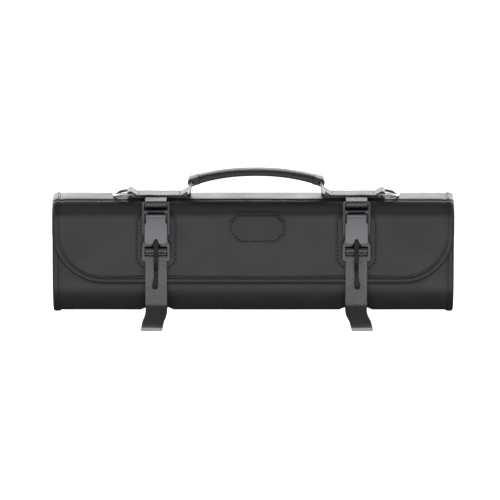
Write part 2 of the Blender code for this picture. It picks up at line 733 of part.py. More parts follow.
def make_buckle_tongue(side):
    """The plug half: the plate that lies in the tray, its shoulders, and the ladder-lock for the girth strap."""
    wide = BUCKLE_WIDTH / 2
    plate = PLATE_WIDTH / 2
    neck = PLATE_NECK_WIDTH / 2
    shoulder_top = LADDER_LENGTH + SHOULDER_LENGTH
    ladder_end = FRAME_START - CLEARANCE
    window_top = BOTTOM_BAR_WIDTH + WINDOW_LENGTH
    window = [
        (-WINDOW_WIDTH / 2, BOTTOM_BAR_WIDTH),
        (WINDOW_WIDTH / 2, BOTTOM_BAR_WIDTH),
        (WINDOW_WIDTH / 2, window_top),
        (NOTCH_HALF_WIDTH, window_top),
        *corner_arc(0, window_top + NOTCH_DEPTH - NOTCH_EYE_RADIUS, NOTCH_EYE_RADIUS, 0, 180, 6),
        (-NOTCH_HALF_WIDTH, window_top),
        (-WINDOW_WIDTH / 2, window_top),
    ]
    ladder = [
        *corner_arc(wide - LADDER_CORNER, LADDER_CORNER, LADDER_CORNER, -90, 0),
        (wide, LADDER_LENGTH),
        (plate, shoulder_top),
        (plate, ladder_end),
        (-plate, ladder_end),
        (-plate, shoulder_top),
        (-wide, LADDER_LENGTH),
        *corner_arc(-wide + LADDER_CORNER, LADDER_CORNER, LADDER_CORNER, 180, 270),
    ]
    plate_low = shoulder_top - PLATE_CORNER
    plate_side = plate - PLATE_INSET
    upper = [
        *corner_arc(plate_side - PLATE_CORNER, plate_low + PLATE_CORNER, PLATE_CORNER, -90, 0),
        (plate_side, plate_top() - PLATE_NECK_LENGTH),
        (neck, plate_top() - PLATE_NECK_LENGTH + PLATE_NECK_SLOPE),
        (neck, plate_top()),
        (-neck, plate_top()),
        (-neck, plate_top() - PLATE_NECK_LENGTH + PLATE_NECK_SLOPE),
        (-plate_side, plate_top() - PLATE_NECK_LENGTH),
        *corner_arc(-plate_side + PLATE_CORNER, plate_low + PLATE_CORNER, PLATE_CORNER, 180, 270),
    ]
    plate_under = FRAME_FLOOR + CLEARANCE
    plate_front = plate_under + PLATE_THICKNESS
    tongue = outline_solid(f"buckle_tongue_{side}", [ladder], 0, LADDER_THICKNESS)
    plate_solid = outline_solid(f"plate_{side}", [upper], plate_under, plate_front)
    opening = outline_solid(f"window_cutter_{side}", [window], -CUTTER_PAST, plate_front + CUTTER_PAST)
    bar = rod(
        f"middle_bar_{side}",
        WINDOW_WIDTH + 2 * BAR_SEAT,
        MIDDLE_BAR_DIAMETER,
        MIDDLE_BAR_Q,
        MIDDLE_BAR_RISE,
    )
    combine(tongue, plate_solid, "UNION")
    combine(tongue, opening, "DIFFERENCE")
    combine(tongue, bar, "UNION")
    put_on_roll(tongue, side, PLASTIC)


def with_points_at(path, distances):
    """The path with a point added at each distance along it."""
    made = [path[0]]
    run = 0.0
    for a, b in zip(path, path[1:]):
        step = (b - a).length
        for distance in sorted(distances):
            if run + 1e-6 < distance < run + step - 1e-6:
                made.append(a.lerp(b, (distance - run) / step))
        made.append(b)
        run += step
    return made


def make_pull_tab(side):
    """A leather tab that starts in the plate's notch and hangs over the ladder-lock onto the strap's tail."""
    half = TAB_THICKNESS / 2
    over = MIDDLE_BAR_RISE + LOOP_RADIUS + WEBBING_THICKNESS / 2 + CLEARANCE + half
    head = BOTTOM_BAR_WIDTH + WINDOW_LENGTH + NOTCH_DEPTH - TAB_FROM_NOTCH_END
    layers = 2 * WEBBING_THICKNESS + CLEARANCE
    on_tail = FRONT + STRAP_ON_FRONT + layers + CLEARANCE + half + TAB_LIFT
    corners = [
        (*buckle_point(head, over), 0),
        (*buckle_point(-TAB_OUT_OF_BUCKLE, over), TAB_BEND / 2),
        (FLAP_EDGE + TAB_SETTLED, on_tail, TAB_BEND),
        (FLAP_EDGE - TAB_PAST_EDGE, on_tail, TAB_BEND),
        (FLAP_EDGE - TAB_PAST_FLAP, on_tail - TAB_END_DIP, 0),
    ]
    path = rounded_path(corners)
    length = sum((b - a).length for a, b in zip(path, path[1:]))
    table = (
        # distance from the head, width there
        (0.0, TAB_HEAD_WIDTH * 0.7),
        (0.8 * MM, TAB_HEAD_WIDTH),
        (4.2 * MM, TAB_HEAD_WIDTH),
        (6.5 * MM, TAB_WIDTH),
        (length - 10 * MM, TAB_WIDTH),
        (length - 7 * MM, TAB_END_WIDTH),
        (length - 2 * MM, TAB_END_WIDTH),
        (length, TAB_END_WIDTH * 0.6),
    )
    rows = [(at / length, wide) for at, wide in table]

    def width(share):
        for (s0, w0), (s1, w1) in zip(rows, rows[1:]):
            if share <= s1 + 1e-9:
                return w0 + (w1 - w0) * (share - s0) / (s1 - s0)
        return rows[-1][1]

    path = with_points_at(path, [share * length for share, _ in rows[1:-1]])
    ribbon(f"pull_tab_{side}", path, TAB_THICKNESS, LEATHER_TRIM, STRAP_X[side], width)


def make_handle_band(side):
    """A sewn leather band on the top side with an eye at each end, for the D-ring and the handle's ring."""
    sign = SIDE_SIGN[side]
    d_hole = D_RING_WIRE / 2 + RING_CLEARANCE
    ring_hole = HANDLE_RING_WIRE / 2 + RING_CLEARANCE
    low = TOP_SIDE + CLEARANCE
    top = low + BAND_THICKNESS
    eyes = (
        # x along the band from the handle's ring, centre height, hole radius
        (0.0, HANDLE_BAR_Y, ring_hole),
        ((D_RING_SPACING - HANDLE_RING_SPACING) / 2, D_BAR_Y, d_hole),
    )
    (x0, y0, r0), (x1, y1, r1) = eyes
    out0 = r0 + EYE_WALL
    out1 = r1 + EYE_WALL
    rise0 = math.degrees(math.asin((top - y0) / out0))
    rise1 = math.degrees(math.asin((top - y1) / out1))
    outline = [
        *corner_arc(x1, y1, out1, -90, 180 - rise1, 10),
        *corner_arc(x0, y0, out0, rise0, 270, 10),
    ]
    holes = [corner_arc(x, y, r, 0, 330, 11) for x, y, r in eyes]
    band = outline_solid(f"handle_band_{side}", [outline, *holes], -BAND_WIDTH / 2, BAND_WIDTH / 2)
    place(band, LEATHER_TRIM)
    band.location = (FITTINGS_OFFSET + sign * HANDLE_RING_SPACING / 2, 0, HANDLE_LINE_HEIGHT)
    if sign < 0:
        band.data.transform(Matrix.Scale(-1, 4, (1, 0, 0)))
        band.data.flip_normals()


def wire_ring(name, points, wire, location, turn):
    """A closed ring of round wire, drawn in its own plane with its bar on the local Z axis."""
    curve = bpy.data.curves.new(name, "CURVE")
    curve.dimensions = "3D"
    curve.bevel_depth = wire / 2
    curve.bevel_resolution = 2
    spline = curve.splines.new("POLY")
    spline.points.add(len(points) - 1)
    for target, (x, z) in zip(spline.points, points):
        target.co = (x, 0, z, 1)
    spline.use_cyclic_u = True
    ring = bpy.data.objects.new(name, curve)
    place(ring, METAL)
    ring.location = location
    ring.rotation_euler = (0, 0, turn)


def make_d_ring(side):
    """The D-ring lies outwards on the top side, hinged in the band's outer eye."""
    half = D_RING_INNER_WIDTH / 2 + D_RING_WIRE / 2
    corner = D_RING_CORNER
    straight = D_RING_STRAIGHT
    points = [
        *corner_arc(corner, -half + corner, corner, 180, 270, 3),
        *[
            (straight + (D_RING_REACH - straight) * math.cos(a), half * math.sin(a))
            for a in [math.radians(-90 + 180 * i / 14) for i in range(15)]
        ],
        *corner_arc(corner, half - corner, corner, 90, 180, 3),
    ]
    x = FITTINGS_OFFSET + SIDE_SIGN[side] * D_RING_SPACING / 2
    turn = -D_RING_DROOP if side == "right" else math.pi + D_RING_DROOP
    wire_ring(f"d_ring_{side}", points, D_RING_WIRE, (x, D_BAR_Y, HANDLE_LINE_HEIGHT), turn)


def make_handle_ring(side):
    """A rectangular ring that stands in the band's inner eye and carries the handle."""
    half = HANDLE_RING_INNER_WIDTH / 2 + HANDLE_RING_WIRE / 2
    corner = HANDLE_RING_CORNER
    height = HANDLE_RING_HEIGHT
    points = [
        *corner_arc(corner, -half + corner, corner, 180, 270, 3),
        *corner_arc(height - corner, -half + corner, corner, 270, 360, 3),
        *corner_arc(height - corner, half - corner, corner, 0, 90, 3),
        *corner_arc(corner, half - corner, corner, 90, 180, 3),
    ]
    sign = SIDE_SIGN[side]
    x = FITTINGS_OFFSET + sign * HANDLE_RING_SPACING / 2
    turn = math.pi / 2 + sign * HANDLE_RING_LEAN
    wire_ring(f"handle_ring_{side}", points, HANDLE_RING_WIRE, (x, HANDLE_BAR_Y, HANDLE_LINE_HEIGHT), turn)


def handle_arch(x):
    """Height of the handle's middle line at x from its centre, and its slope."""
    share = abs(x) / CHAPE_BAR_OFFSET
    y = CHAPE_BAR_Y + HANDLE_RISE * (1 - share**HANDLE_ARCH_POWER)
    steep = HANDLE_RISE * HANDLE_ARCH_POWER * share ** (HANDLE_ARCH_POWER - 1) / CHAPE_BAR_OFFSET
    return y, -math.copysign(steep, x)


def make_handle_grip():
    """The padded leather grip, a flat rounded section along the arch between the two chapes."""
    end_slope = math.atan(handle_arch(-CHAPE_BAR_OFFSET)[1])
    reach = CHAPE_BAR_OFFSET - (CHAPE_LENGTH + CLEARANCE) * math.cos(end_slope)
    steps = 16
    sides = 16
    rings = []
    for i in range(steps + 1):
        x = -reach + 2 * reach * i / steps
        y, slope = handle_arch(x)
        tilt = math.atan(slope)
        ring = []
        for k in range(sides):
            a = 2 * math.pi * k / sides
            across = math.copysign(abs(math.cos(a)) ** 0.6, math.cos(a)) * HANDLE_WIDTH / 2
            up = math.copysign(abs(math.sin(a)) ** 0.8, math.sin(a)) * HANDLE_THICKNESS / 2
            ring.append(
                (
                    FITTINGS_OFFSET + x - up * math.sin(tilt),
                    y + up * math.cos(tilt),
                    HANDLE_LINE_HEIGHT + across,
                )
            )
        rings.append(ring)
    loft("handle_grip", rings, LEATHER_TRIM, closed=False)


def make_handle_chape(side):
    """The leather loop that holds the ring's upper bar at one end of the grip."""
    sign = SIDE_SIGN[side]
    hole = HANDLE_RING_WIRE / 2 + RING_CLEARANCE
    outer = hole + EYE_WALL
    grip = CHAPE_THICKNESS / 2
    outline = [(CHAPE_LENGTH, -grip), (CHAPE_LENGTH, grip), *corner_arc(0, 0, outer, 70, 290, 10)]
    chape = outline_solid(
        f"handle_chape_{side}",
        [outline, corner_arc(0, 0, hole, 0, 330, 11)],
        -CHAPE_WIDTH / 2,
        CHAPE_WIDTH / 2,
    )
    place(chape, LEATHER_TRIM)
    slope = math.atan(abs(handle_arch(CHAPE_BAR_OFFSET)[1]))
    chape.location = (FITTINGS_OFFSET + sign * CHAPE_BAR_OFFSET, CHAPE_BAR_Y, HANDLE_LINE_HEIGHT)
    chape.rotation_euler = (0, 0, slope if sign < 0 else math.pi - slope)


make_shell()
make_binding()
make_inner_flap()
make_patch("label_patch", LABEL_OFFSET, LABEL_DROP, LABEL_LENGTH, LABEL_HEIGHT, LABEL_CHAMFER)
make_handle_grip()
for SIDE in ("left", "right"):
    make_patch(f"buckle_pad_{SIDE}", STRAP_X[SIDE], PAD_DROP, PAD_WIDTH, PAD_HEIGHT, PAD_CHAMFER)
    make_girth_strap(SIDE)
    make_upper_strap(SIDE)
    make_buckle_frame(SIDE)
    make_buckle_tongue(SIDE)
    make_pull_tab(SIDE)
    make_handle_band(SIDE)
    make_d_ring(SIDE)
    make_handle_ring(SIDE)
    make_handle_chape(SIDE)
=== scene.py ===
# %% [markdown]
# # A chef's knife roll, rolled up and strapped shut
#
# The real thing is one sheet of black leather with a nylon lining. Its edge is bound with a folded
# tape, it is rolled up, and its last stretch closes over the front as a flap. Two webbing straps with
# two-part buckles hold it shut. A leather handle and two D-rings sit along the top side.
#
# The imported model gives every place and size. Each soft solid of it is replaced here by the same
# thing made the way it is sewn: cut flat first, then laid round the roll.

import math

import bmesh
import bpy
import numpy as np
from mathutils import Matrix, Vector, noise


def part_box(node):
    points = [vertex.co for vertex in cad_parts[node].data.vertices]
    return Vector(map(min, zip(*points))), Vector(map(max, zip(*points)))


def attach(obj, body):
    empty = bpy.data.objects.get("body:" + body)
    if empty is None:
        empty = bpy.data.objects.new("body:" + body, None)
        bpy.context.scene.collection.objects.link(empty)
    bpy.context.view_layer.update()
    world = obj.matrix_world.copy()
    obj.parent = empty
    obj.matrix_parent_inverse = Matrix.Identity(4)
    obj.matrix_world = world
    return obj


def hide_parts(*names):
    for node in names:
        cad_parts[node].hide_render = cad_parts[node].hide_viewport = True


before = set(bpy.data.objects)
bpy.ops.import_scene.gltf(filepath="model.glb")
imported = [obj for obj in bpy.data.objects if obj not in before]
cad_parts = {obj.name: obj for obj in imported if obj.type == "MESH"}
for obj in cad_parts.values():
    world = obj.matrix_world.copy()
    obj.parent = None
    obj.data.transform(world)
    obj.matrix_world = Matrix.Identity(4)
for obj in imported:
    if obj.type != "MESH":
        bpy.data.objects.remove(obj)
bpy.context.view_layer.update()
bpy.ops.object.select_all(action="DESELECT")
MM = 0.001
print("nodes in the frame:", len(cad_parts))

# %% [markdown]
# ## Camera, floor and light
#
# The picture looks down at the front from 13 degrees towards the handle, so that a thin strip of the
# top side shows. A long lens from far away keeps the sides parallel, as a product picture does.
# The roll lies on its back on white paper. A wide softbox overhead gives the front its even, dim
# shine. The paper's own material paints a glowing strip beyond the handle, a painted light, and paints
# the rest of the paper dark, a painted shade; only reflections and bounce light see these. The top side,
# the handle and the bands are seen almost edge on, and at such an angle leather mirrors the painted
# glow strongly. A weak box behind and two upright ones at the ends fill the shadows.

# %% Camera
VIEW_TILT = math.radians(13)
VIEW_DISTANCE = 6.0
VIEW_CENTRE = Vector((-0.0037, 0.0118, 0.0679))
PIXEL_ON_FRONT = 1.144 * MM
PICTURE_WIDTH = 500
bpy.ops.object.camera_add(
    location=VIEW_CENTRE + VIEW_DISTANCE * Vector((0, math.sin(VIEW_TILT), math.cos(VIEW_TILT))),
    rotation=(-VIEW_TILT, 0, 0),
)
camera = bpy.context.object
camera.data.lens = camera.data.sensor_width * VIEW_DISTANCE / (PICTURE_WIDTH * PIXEL_ON_FRONT)
bpy.context.scene.camera = camera
bpy.context.scene.view_settings.view_transform = "Standard"
print("lens, mm:", round(camera.data.lens, 1))

# %% Table
TABLE_WIDTH = 8
bpy.ops.mesh.primitive_plane_add(size=TABLE_WIDTH, location=(0, 0, 0))
table = bpy.context.object
table.name = "table"
print("table is", table.dimensions.x, "m wide")


# %% Softboxes
SOFTBOXES = (
    # name, place, aim, width, height, watts
    ("light_overhead", (0, -0.45, 1.5), (0, -0.1, 0), 3.2, 1.2, 17.2),
    ("light_behind", (0, 1.5, 1.2), (0, 0.05, 0), 3.0, 1.5, 6),
    ("light_left", (-2.2, 0, 0.8), (0, 0, 0.05), 3.4, 1.2, 10),
    ("light_right", (2.2, 0, 0.8), (0, 0, 0.05), 3.4, 1.2, 10),
)
ROOM_LIGHT = 0.13
for name, place, aim, width, height, power in SOFTBOXES:
    bpy.ops.object.light_add(type="AREA", location=place)
    light = bpy.context.object
    light.name = name
    light.rotation_euler = (Vector(aim) - Vector(place)).to_track_quat("-Z", "Y").to_euler()
    light.data.shape = "RECTANGLE"
    light.data.size = width
    light.data.size_y = height
    light.data.energy = power
    light.visible_camera = False
world = bpy.data.worlds.new("studio")
bpy.context.scene.world = world
world.use_nodes = True
world.node_tree.nodes["Background"].inputs["Strength"].default_value = ROOM_LIGHT
print("lights:", [row[0] for row in SOFTBOXES])


# %% [markdown]
# ## Small tools
#
# Blender's operators act on whatever is selected, so the tools here first choose faces or edges by
# their place, as a hand would with the mouse. A finished piece gets its material and the body that
# it moves with, and the nodes that it stands for are hidden.

# %% Choosing, shaping and finishing
def choose(kind, test):
    """In edit mode, selects the vertices, edges or faces for which test is true."""
    bpy.ops.mesh.select_mode(type=kind)
    bpy.ops.mesh.select_all(action="DESELECT")
    mesh = bmesh.from_edit_mesh(bpy.context.object.data)
    items = {"VERT": mesh.verts, "EDGE": mesh.edges, "FACE": mesh.faces}[kind]
    for item in items:
        if test(item):
            item.select_set(True)
    bmesh.update_edit_mesh(bpy.context.object.data)


def apply_modifier(obj, kind, **settings):
    modifier = obj.modifiers.new(kind.lower(), kind)
    for name, value in settings.items():
        setattr(modifier, name, value)
    bpy.context.view_layer.objects.active = obj
    bpy.ops.object.modifier_apply(modifier=modifier.name)


def finish_piece(obj, materials, nodes=(), body="roll", smooth=35):
    """Puts a finished mesh on its body, with its place kept in the mesh."""
    bpy.ops.object.select_all(action="DESELECT")
    obj.select_set(True)
    bpy.context.view_layer.objects.active = obj
    bpy.ops.object.transform_apply(location=True, rotation=True, scale=True)
    bpy.ops.object.shade_smooth_by_angle(angle=math.radians(smooth))
    for material in materials:
        obj.data.materials.append(material)
    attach(obj, body)
    if nodes:
        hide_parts(*nodes)
    obj.select_set(False)
    return obj


def grid_piece(name, points, uv=None):
    """A grid primitive with its points moved to an array of rows x columns x 3 places."""
    rows, columns = points.shape[:2]
    bpy.ops.mesh.primitive_grid_add(x_subdivisions=columns - 1, y_subdivisions=rows - 1, size=1)
    obj = bpy.context.object
    obj.name = obj.data.name = name
    obj.data.vertices.foreach_set("co", np.ascontiguousarray(points, np.float32).reshape(-1))
    if uv is not None:
        corner = np.empty(len(obj.data.loops), np.int32)
        obj.data.loops.foreach_get("vertex_index", corner)
        flat = np.ascontiguousarray(uv, np.float32).reshape(-1, 2)
        obj.data.uv_layers.active.data.foreach_set("uv", flat[corner].reshape(-1))
    obj.data.update()
    return obj


def merge_seam(obj):
    """Joins the first and last points of a strip that runs round and meets itself."""
    bpy.context.view_layer.objects.active = obj
    bpy.ops.object.mode_set(mode="EDIT")
    bpy.ops.mesh.select_all(action="SELECT")
    bpy.ops.mesh.remove_doubles(threshold=0.01 * MM)
    bpy.ops.mesh.normals_make_consistent(inside=False)
    bpy.ops.object.mode_set(mode="OBJECT")


print("tools ready")

# %% [markdown]
# ## Materials
#
# Colours are written as the sRGB hex values that a picture shows, and one function turns them into
# the linear values that a shader needs. Patterns are given in real millimetres.

# %% Colour and node tools
WAVE_REPEAT = 0.314  # metres between two bands of the wave texture at scale 1


def linear(hex_colour):
    """The colour that a shader needs for an sRGB hex value."""
    values = [int(hex_colour[i : i + 2], 16) / 255 for i in (0, 2, 4)]
    return (*[v / 12.92 if v <= 0.04045 else ((v + 0.055) / 1.055) ** 2.4 for v in values], 1)


def add_node(tree, kind, settings=None, **inputs):
    """Adds a node. A keyword is an input's name, or its number after an underscore."""
    made = tree.nodes.new("ShaderNode" + kind)
    for name, value in (settings or {}).items():
        setattr(made, name, value)
    for name, value in inputs.items():
        key = int(name[1:]) if name.startswith("_") else name.replace("_", " ")
        if isinstance(value, bpy.types.NodeSocket):
            tree.links.new(value, made.inputs[key])
        else:
            made.inputs[key].default_value = value
    return made


def new_material(name, **shader_values):
    material = bpy.data.materials.new(name)
    material.use_nodes = True
    tree = material.node_tree
    shader = tree.nodes["Principled BSDF"]
    for key, value in shader_values.items():
        shader.inputs[key.replace("_", " ")].default_value = value
    return material, tree, shader


def feed(tree, shader, **outputs):
    """Links outputs of other nodes to a shader's inputs, by the inputs' names."""
    for key, output in outputs.items():
        tree.links.new(output, shader.inputs[key.replace("_", " ")])


def object_place(tree):
    return add_node(tree, "TexCoord").outputs["Object"]


def speckle(tree, place, size, detail=2.0):
    """Noise with patches of about a size."""
    return add_node(tree, "TexNoise", Vector=place, Scale=1 / size, Detail=detail).outputs["Fac"]


def wave(tree, vector, pitch, settings=None, distortion=0.0):
    """Soft bands a pitch apart."""
    scale = WAVE_REPEAT / pitch
    return add_node(tree, "TexWave", settings, Vector=vector, Scale=scale, Distortion=distortion).outputs[1]


def map_range(tree, value, low, high, to_low=0.0, to_high=1.0):
    """The value carried from one range to another, and held at its ends."""
    return add_node(tree, "MapRange", Value=value, _1=low, _2=high, _3=to_low, _4=to_high).outputs[0]


def calculate(tree, operation, *values):
    inputs = {f"_{i}": value for i, value in enumerate(values)}
    return add_node(tree, "Math", {"operation": operation}, **inputs).outputs[0]


def two_tone(tree, amount, first, second):
    """A colour between two, each a hex value or the output of a node."""
    a, b = (linear(c) if isinstance(c, str) else c for c in (first, second))
    return add_node(tree, "Mix", {"data_type": "RGBA"}, _0=amount, _6=a, _7=b).outputs[2]


def relief(tree, height, depth):
    return add_node(tree, "Bump", Height=height, Distance=depth).outputs[0]


def worn_edges(tree, flat, sharp, most):
    """How worn a place is: nothing where the mesh is flat, and the most at its sharp edges."""
    return map_range(tree, add_node(tree, "NewGeometry").outputs["Pointiness"], flat, sharp, 0.0, most)


print("black leather is", [round(c, 3) for c in linear("1c1c1d")])

# %% [markdown]
# Smooth black leather is split cowhide under a thin, even pigment coat. The coat shines softly and
# hides most of the hide's colour, so the eye reads it by its fine pebbled grain and by how its
# shine breaks up. The grain here is rounded cells just under a millimetre across, over slower
# swells that change the shine from place to place.

# %% Black leather
def leather(name, colour, worn, rough, grain, depth):
    material, tree, shader = new_material(name, Specular_IOR_Level=0.5)
    place = object_place(tree)
    smooth_cells = {"feature": "SMOOTH_F1"}
    cells = add_node(tree, "TexVoronoi", smooth_cells, Vector=place, Scale=1 / grain, Smoothness=0.6)
    pebble = map_range(tree, cells.outputs["Distance"], 0.1, 0.75, 1.0, 0.0)
    pores = speckle(tree, place, 0.35 * grain, 3.0)
    height = calculate(tree, "MULTIPLY_ADD", pores, 0.35, pebble)
    shine = map_range(tree, speckle(tree, place, 38 * MM), 0.3, 0.7, rough - 0.05, rough + 0.06)
    tint = two_tone(tree, worn_edges(tree, 0.53, 0.62, 0.7), colour, worn)
    feed(tree, shader, Normal=relief(tree, height, depth), Roughness=shine, Base_Color=tint)
    return material


LEATHER = leather("pigmented_black_leather", "343435", "4a4a4b", 0.42, 0.95 * MM, 0.05 * MM)
TRIM = leather("black_leather_trim", "2e2e2f", "464647", 0.40, 0.7 * MM, 0.04 * MM)
TAB_LEATHER = leather("dry_black_leather", "111112", "262627", 0.58, 0.6 * MM, 0.04 * MM)
EDGE_PAINT, tree, shader = new_material(
    "painted_leather_edge", Base_Color=linear("0d0d0e"), Specular_IOR_Level=0.3
)
brushed = speckle(tree, object_place(tree), 0.8 * MM)
feed(tree, shader, Roughness=map_range(tree, brushed, 0.0, 1.0, 0.55, 0.75))
print("leathers:", LEATHER.name, TRIM.name)

# %% [markdown]
# The lining is woven nylon. Its threads pass over two and under two, which draws fine diagonal
# ribs. The pattern follows the cloth, so it reads the sheet's own flat coordinates, in metres.

# %% Woven nylon
def nylon_twill(name, colour, pitch, depth):
    material, tree, shader = new_material(name, Roughness=0.62, Sheen_Weight=0.15, Sheen_Roughness=0.4)
    flat = add_node(tree, "UVMap").outputs[0]
    turned = add_node(tree, "Mapping", Vector=flat, Rotation=(0, 0, math.radians(45))).outputs[0]
    rib = wave(tree, turned, pitch, distortion=0.6)
    thread = wave(tree, flat, 0.7 * pitch, {"bands_direction": "Y"})
    height = calculate(tree, "MULTIPLY_ADD", thread, 0.4, rib)
    tint = two_tone(tree, rib, "161817", colour)
    feed(tree, shader, Normal=relief(tree, height, depth), Base_Color=tint)
    return material


LINING = nylon_twill("woven_nylon_lining", "2c2f2d", 0.8 * MM, 0.06 * MM)
print("lining:", LINING.name)

# %% [markdown]
# Heavy strap webbing is woven from thick polypropylene yarn. Its ribs run in chevrons that meet on
# the middle line, and short cross floats break each rib into grains. The ribs are polished and catch
# the light. The colour follows the weave's height: a paler grey on the ribs, partly painted sheen,
# and almost black in the furrows, a painted shade. The real ribs are 2.3 mm apart, which is too
# fine to show in the picture, so they are drawn 3.4 mm apart.

# %% Strap webbing
def webbing_weave(name, rib_pitch, grain_pitch, depth):
    material, tree, shader = new_material(name, Specular_IOR_Level=1.0, IOR=1.8)
    x, run, _ = add_node(tree, "SeparateXYZ", Vector=add_node(tree, "UVMap").outputs[0]).outputs
    across = calculate(tree, "ABSOLUTE", x)
    slant = add_node(tree, "CombineXYZ", X=calculate(tree, "SUBTRACT", run, across)).outputs[0]
    counter = add_node(tree, "CombineXYZ", X=calculate(tree, "ADD", run, across)).outputs[0]
    height = calculate(
        tree, "MULTIPLY_ADD", wave(tree, counter, grain_pitch), 0.5, wave(tree, slant, rib_pitch)
    )
    level = map_range(tree, height, 0.5, 1.2)
    shine = map_range(tree, level, 0.0, 1.0, 0.8, 0.2)
    # Painted shade and sheen: almost black in the furrows, paler grey on the ribs
    tint = two_tone(tree, level, "010101", "444445")
    feed(tree, shader, Normal=relief(tree, height, depth), Roughness=shine, Base_Color=tint)
    return material


WEBBING = webbing_weave("woven_strap_webbing", 3.4 * MM, 2.4 * MM, 0.15 * MM)
# Painted highlight: the tail's last few millimetres are painted pale grey for light caught on its end; the
# noise bump is its melted, sealed surface
WEBBING_END_HIGHLIGHT, tree, shader = new_material("sealed_webbing_end_painted_highlight", Base_Color=linear("c8c8ca"), Roughness=0.4)
melt = speckle(tree, object_place(tree), 1.2 * MM)
feed(tree, shader, Normal=relief(tree, melt, 0.1 * MM))
print("webbing:", WEBBING.name)

# %% [markdown]
# The buckles are moulded acetal with a fine spark-eroded texture from the mould, which turns the
# highlight into an even satin. The plate is a paler grey than its frame. The rings are steel with
# nickel plate: a metal keeps its own default index of refraction, and only its roughness changes
# where fingers and hooks have rubbed it. Bonded nylon thread has a waxy shine.

# %% Plastic, steel and thread
def moulded_plastic(name, colour, rough):
    material, tree, shader = new_material(name, Specular_IOR_Level=0.5)
    place = object_place(tree)
    sparked = relief(tree, speckle(tree, place, 0.25 * MM), 0.012 * MM)
    shine = map_range(tree, speckle(tree, place, 9 * MM), 0.3, 0.7, rough - 0.04, rough + 0.06)
    tint = two_tone(tree, worn_edges(tree, 0.54, 0.66, 0.5), colour, "a0a1a4")
    feed(tree, shader, Normal=sparked, Roughness=shine, Base_Color=tint)
    return material


PLATE_PLASTIC = moulded_plastic("moulded_grey_acetal", "8e8f95", 0.36)
LADDER_PLASTIC = moulded_plastic("moulded_slate_acetal", "68696d", 0.38)
FRAME_PLASTIC = moulded_plastic("moulded_dark_acetal", "545558", 0.40)

NICKEL, tree, shader = new_material("nickel_plated_steel", Metallic=1.0, Base_Color=linear("b9babd"))
rubbed = speckle(tree, object_place(tree), 2.5 * MM, 4.0)
feed(tree, shader, Roughness=map_range(tree, rubbed, 0.35, 0.7, 0.10, 0.26))

THREAD, tree, shader = new_material("bonded_nylon_thread", Roughness=0.65, Specular_IOR_Level=0.25)
twist = wave(tree, object_place(tree), 0.5 * MM, distortion=1.5)
feed(tree, shader, Base_Color=two_tone(tree, twist, "060606", "161617"))
print("materials so far:", len(bpy.data.materials))

# %% [markdown]
# The paper is white to the camera, and glows a little, because product pictures over-expose the
# table until it is plain white. Everything else sees a painted glow in the paper itself, from the
# roll's top side to beyond the handle, where it fades out, and a painted shade of dark grey on the
# rest. No lamp or card is there; both are the paper's own emission and colour.

# %% Paper, with its painted glow and painted shade
PAINTED_GLOW_STRENGTH = 2.8
PAINTED_GLOW_NEAR = (0.045, 0.06)  # metres in y over which the painted glow's near edge comes up
PAINTED_GLOW_FAR = (0.09, 0.22)  # and over which it fades out
PAPER_PATCH = 1 / 60

paper, tree, shader = new_material("white_table_paper", Roughness=0.9)
place = object_place(tree)
tint = two_tone(tree, speckle(tree, place, PAPER_PATCH), "f4f4f4", "f8f8f8")
depth = add_node(tree, "SeparateXYZ", Vector=place).outputs[1]
near, far = map_range(tree, depth, *PAINTED_GLOW_NEAR), map_range(tree, depth, *PAINTED_GLOW_FAR, 1.0, 0.0)
painted_glow_mask = calculate(tree, "MULTIPLY", near, far)
# Painted shade: for all but camera rays the paper is painted dark grey outside the glowing strip
feed(tree, shader, Base_Color=two_tone(tree, painted_glow_mask, "303030", tint))
# Painted light: the paper itself glows in that strip, though no lamp is there
glow = add_node(tree, "Emission", Strength=calculate(tree, "MULTIPLY", painted_glow_mask, PAINTED_GLOW_STRENGTH))
paper_with_painted_glow = add_node(tree, "AddShader", _0=shader.outputs[0], _1=glow.outputs[0])
white = add_node(tree, "BsdfDiffuse", Color=tint)
bright = add_node(tree, "Emission", Strength=1.0)
lit = add_node(tree, "AddShader", _0=white.outputs[0], _1=bright.outputs[0])
seen = add_node(tree, "LightPath").outputs["Is Camera Ray"]
shown = add_node(tree, "MixShader", _0=seen, _1=paper_with_painted_glow.outputs[0], _2=lit.outputs[0])
feed(tree, tree.nodes["Material Output"], Surface=shown.outputs[0])
table.data.materials.append(paper)
print("materials:", len(bpy.data.materials))

# %% [markdown]
# ## The wound surface
#
# Every sewn piece lies on the same spiral, so it is worked out once. A place on the sheet is three
# numbers: x along the roll, s round it from the flap's edge, and the height above the sheet's
# outer face. The straights and corners of one turn are listed in order, and each turn lies one
# pitch inside the last. The step inwards is taken a quarter at a time, at the corners.

# %% Sizes of the roll
SHELL_LOW, SHELL_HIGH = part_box("roll_shell")
TOP, BOTTOM, FRONT, BACK = SHELL_HIGH.y, SHELL_LOW.y, SHELL_HIGH.z, SHELL_LOW.z
SHEET_HALF = SHELL_HIGH.x
PITCH = 6.4 * MM
SHEET_THICKNESS = 3.2 * MM
CORNER_RADII = [r * MM for r in (20, 22, 23, 34)]  # top front, top back, bottom back, bottom front
FLAP_EDGE = BOTTOM + 36.5 * MM
BINDING_REACH = 1.3 * MM
SHEET_START = FLAP_EDGE + BINDING_REACH
OPENED_LENGTH = 702 * MM
FLAP_CORNER = 58 * MM
CLEARANCE = 0.35 * MM


